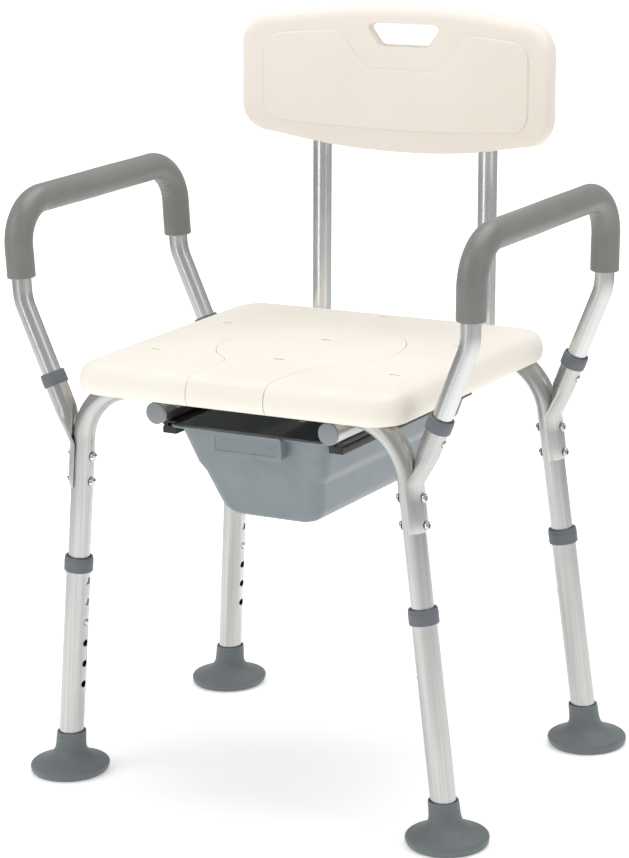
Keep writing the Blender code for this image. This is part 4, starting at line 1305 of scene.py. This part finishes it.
# Studio ---------------------------------------------------------------------------------------
def make_camera():
    turn, tilt, roll = math.radians(31.123), math.radians(14.445), math.radians(-1.646)
    ahead = Vector((-math.sin(turn) * math.cos(tilt), math.cos(turn) * math.cos(tilt), -math.sin(tilt)))
    right = Vector((math.cos(turn), math.sin(turn), 0))
    up = right.cross(ahead)
    x_axis = math.cos(roll) * right + math.sin(roll) * up
    y_axis = -math.sin(roll) * right + math.cos(roll) * up
    lens = bpy.data.cameras.new("camera")
    lens.lens = 126.33
    lens.sensor_width = 36.0
    lens.clip_start = 0.1
    lens.clip_end = 200.0
    camera = bpy.data.objects.new("camera", lens)
    bpy.context.scene.collection.objects.link(camera)
    pose = Matrix((x_axis, y_axis, -ahead)).transposed().to_4x4()
    camera.matrix_world = Matrix.Translation((1.7225, -2.8786, 1.2601)) @ pose
    bpy.context.scene.camera = camera


def make_floor():
    """A large pale floor that glows a little, weaker near the chair and stronger away from it: painted
    light that lifts the shadows on it. Glossy rays see it fade to grey away from the chair, a painted
    darker surround in reflections, as in a studio.
    """
    rings = []
    for radius in (0.0, 1.0, 3.0, 8.0, 20.0, 60.0):
        if radius == 0:
            rings.append([Vector((0, 0, -0.0001))])
        else:
            rings.append([Vector((radius * math.cos(t), radius * math.sin(t), -0.0001))
                          for t in (math.tau * k / 64 for k in range(64))])
    verts = [tuple(v) for ring in rings for v in ring]
    faces = [(0, 1 + i, 1 + (i + 1) % 64) for i in range(64)]
    for r in range(len(rings) - 2):
        a, b = 1 + r * 64, 1 + (r + 1) * 64
        faces += [(a + i, b + i, b + (i + 1) % 64, a + (i + 1) % 64) for i in range(64)]
    mesh = bpy.data.meshes.new("floor")
    mesh.from_pydata(verts, [], faces)
    floor = bpy.data.objects.new("floor", mesh)
    bpy.context.scene.collection.objects.link(floor)
    n = Nodes("floor_pale")
    here = n.place()
    n.set("Base Color", n.mix(n.noise(here, 6.0, 3.0), (0.93, 0.93, 0.93, 1), (0.95, 0.95, 0.95, 1)))
    n.set("Roughness", 0.75)
    n.set("Specular IOR Level", 0.25)
    n.set("Normal", n.bump(n.noise(here, 700.0, 3.0), 0.03, 0.0005))
    far = n.add("ShaderNodeVectorMath", {0: here}, operation="LENGTH").outputs["Value"]
    # Painted reflection: glossy rays see the floor turn grey away from the chair.
    seen = n.add("ShaderNodeLightPath").outputs["Is Glossy Ray"]
    fade = n.remap(far, 0.5, 2.6, 0.0, 1.0)
    dark = n.add("ShaderNodeBsdfDiffuse", {"Color": (0.52, 0.52, 0.53, 1)})
    # Painted light: the floor glows, weaker near the chair and stronger away from it, lifting the
    # shadows on it.
    n.set("Emission Color", (1.0, 1.0, 1.0, 1.0))
    n.set("Emission Strength", n.remap(far, 0.25, 1.4, 0.32, 0.66))
    mixer = n.add("ShaderNodeMixShader", {0: n.math("MULTIPLY", seen, fade), 1: n.shader.outputs[0],
                                          2: dark.outputs[0]})
    out = n.tree.nodes["Material Output"]
    n.tree.links.new(mixer.outputs[0], out.inputs["Surface"])
    mesh.materials.append(n.mat)


def area_light(name, spot, aim, size, power):
    data = bpy.data.lights.new(name, "AREA")
    data.shape = "RECTANGLE"
    data.size, data.size_y = size
    data.energy = power
    light = bpy.data.objects.new(name, data)
    bpy.context.scene.collection.objects.link(light)
    light.location = spot
    light.rotation_euler = (Vector(aim) - Vector(spot)).to_track_quat("-Z", "Y").to_euler()
    light.visible_camera = False


def make_world():
    world = bpy.data.worlds.new("studio")
    bpy.context.scene.world = world
    world.use_nodes = True
    nodes, links = world.node_tree.nodes, world.node_tree.links
    back = nodes["Background"]
    coords = nodes.new("ShaderNodeTexCoord")
    split = nodes.new("ShaderNodeSeparateXYZ")
    links.new(coords.outputs["Generated"], split.inputs[0])
    ramp = nodes.new("ShaderNodeValToRGB")
    links.new(split.outputs[2], ramp.inputs[0])
    ramp.color_ramp.elements[0].position = 0.02
    ramp.color_ramp.elements[0].color = (0.80, 0.80, 0.81, 1)
    ramp.color_ramp.elements[1].position = 0.55
    ramp.color_ramp.elements[1].color = (1.0, 1.0, 1.0, 1)
    links.new(ramp.outputs[0], back.inputs["Color"])
    back.inputs["Strength"].default_value = 0.50


# name, place, height aimed at, size, power in watts
LIGHTS = (("key", (-2.2, -2.6, 2.9), 0.45, (2.0, 1.5), 31.0),
          ("strip_left", (-0.9, -2.9, 1.1), 0.5, (0.35, 2.0), 8.0),
          ("fill_right", (3.0, -0.6, 1.5), 0.4, (0.7, 2.2), 8.0),
          ("top", (0.2, 0.5, 3.2), 0.4, (2.4, 2.4), 58.0))


def make_studio():
    make_camera()
    make_floor()
    make_world()
    for name, spot, aim_z, size, power in LIGHTS:
        area_light(name, spot, (0, 0, aim_z), size, power)
    bpy.context.scene.view_settings.view_transform = "Standard"


make_all()
make_studio()
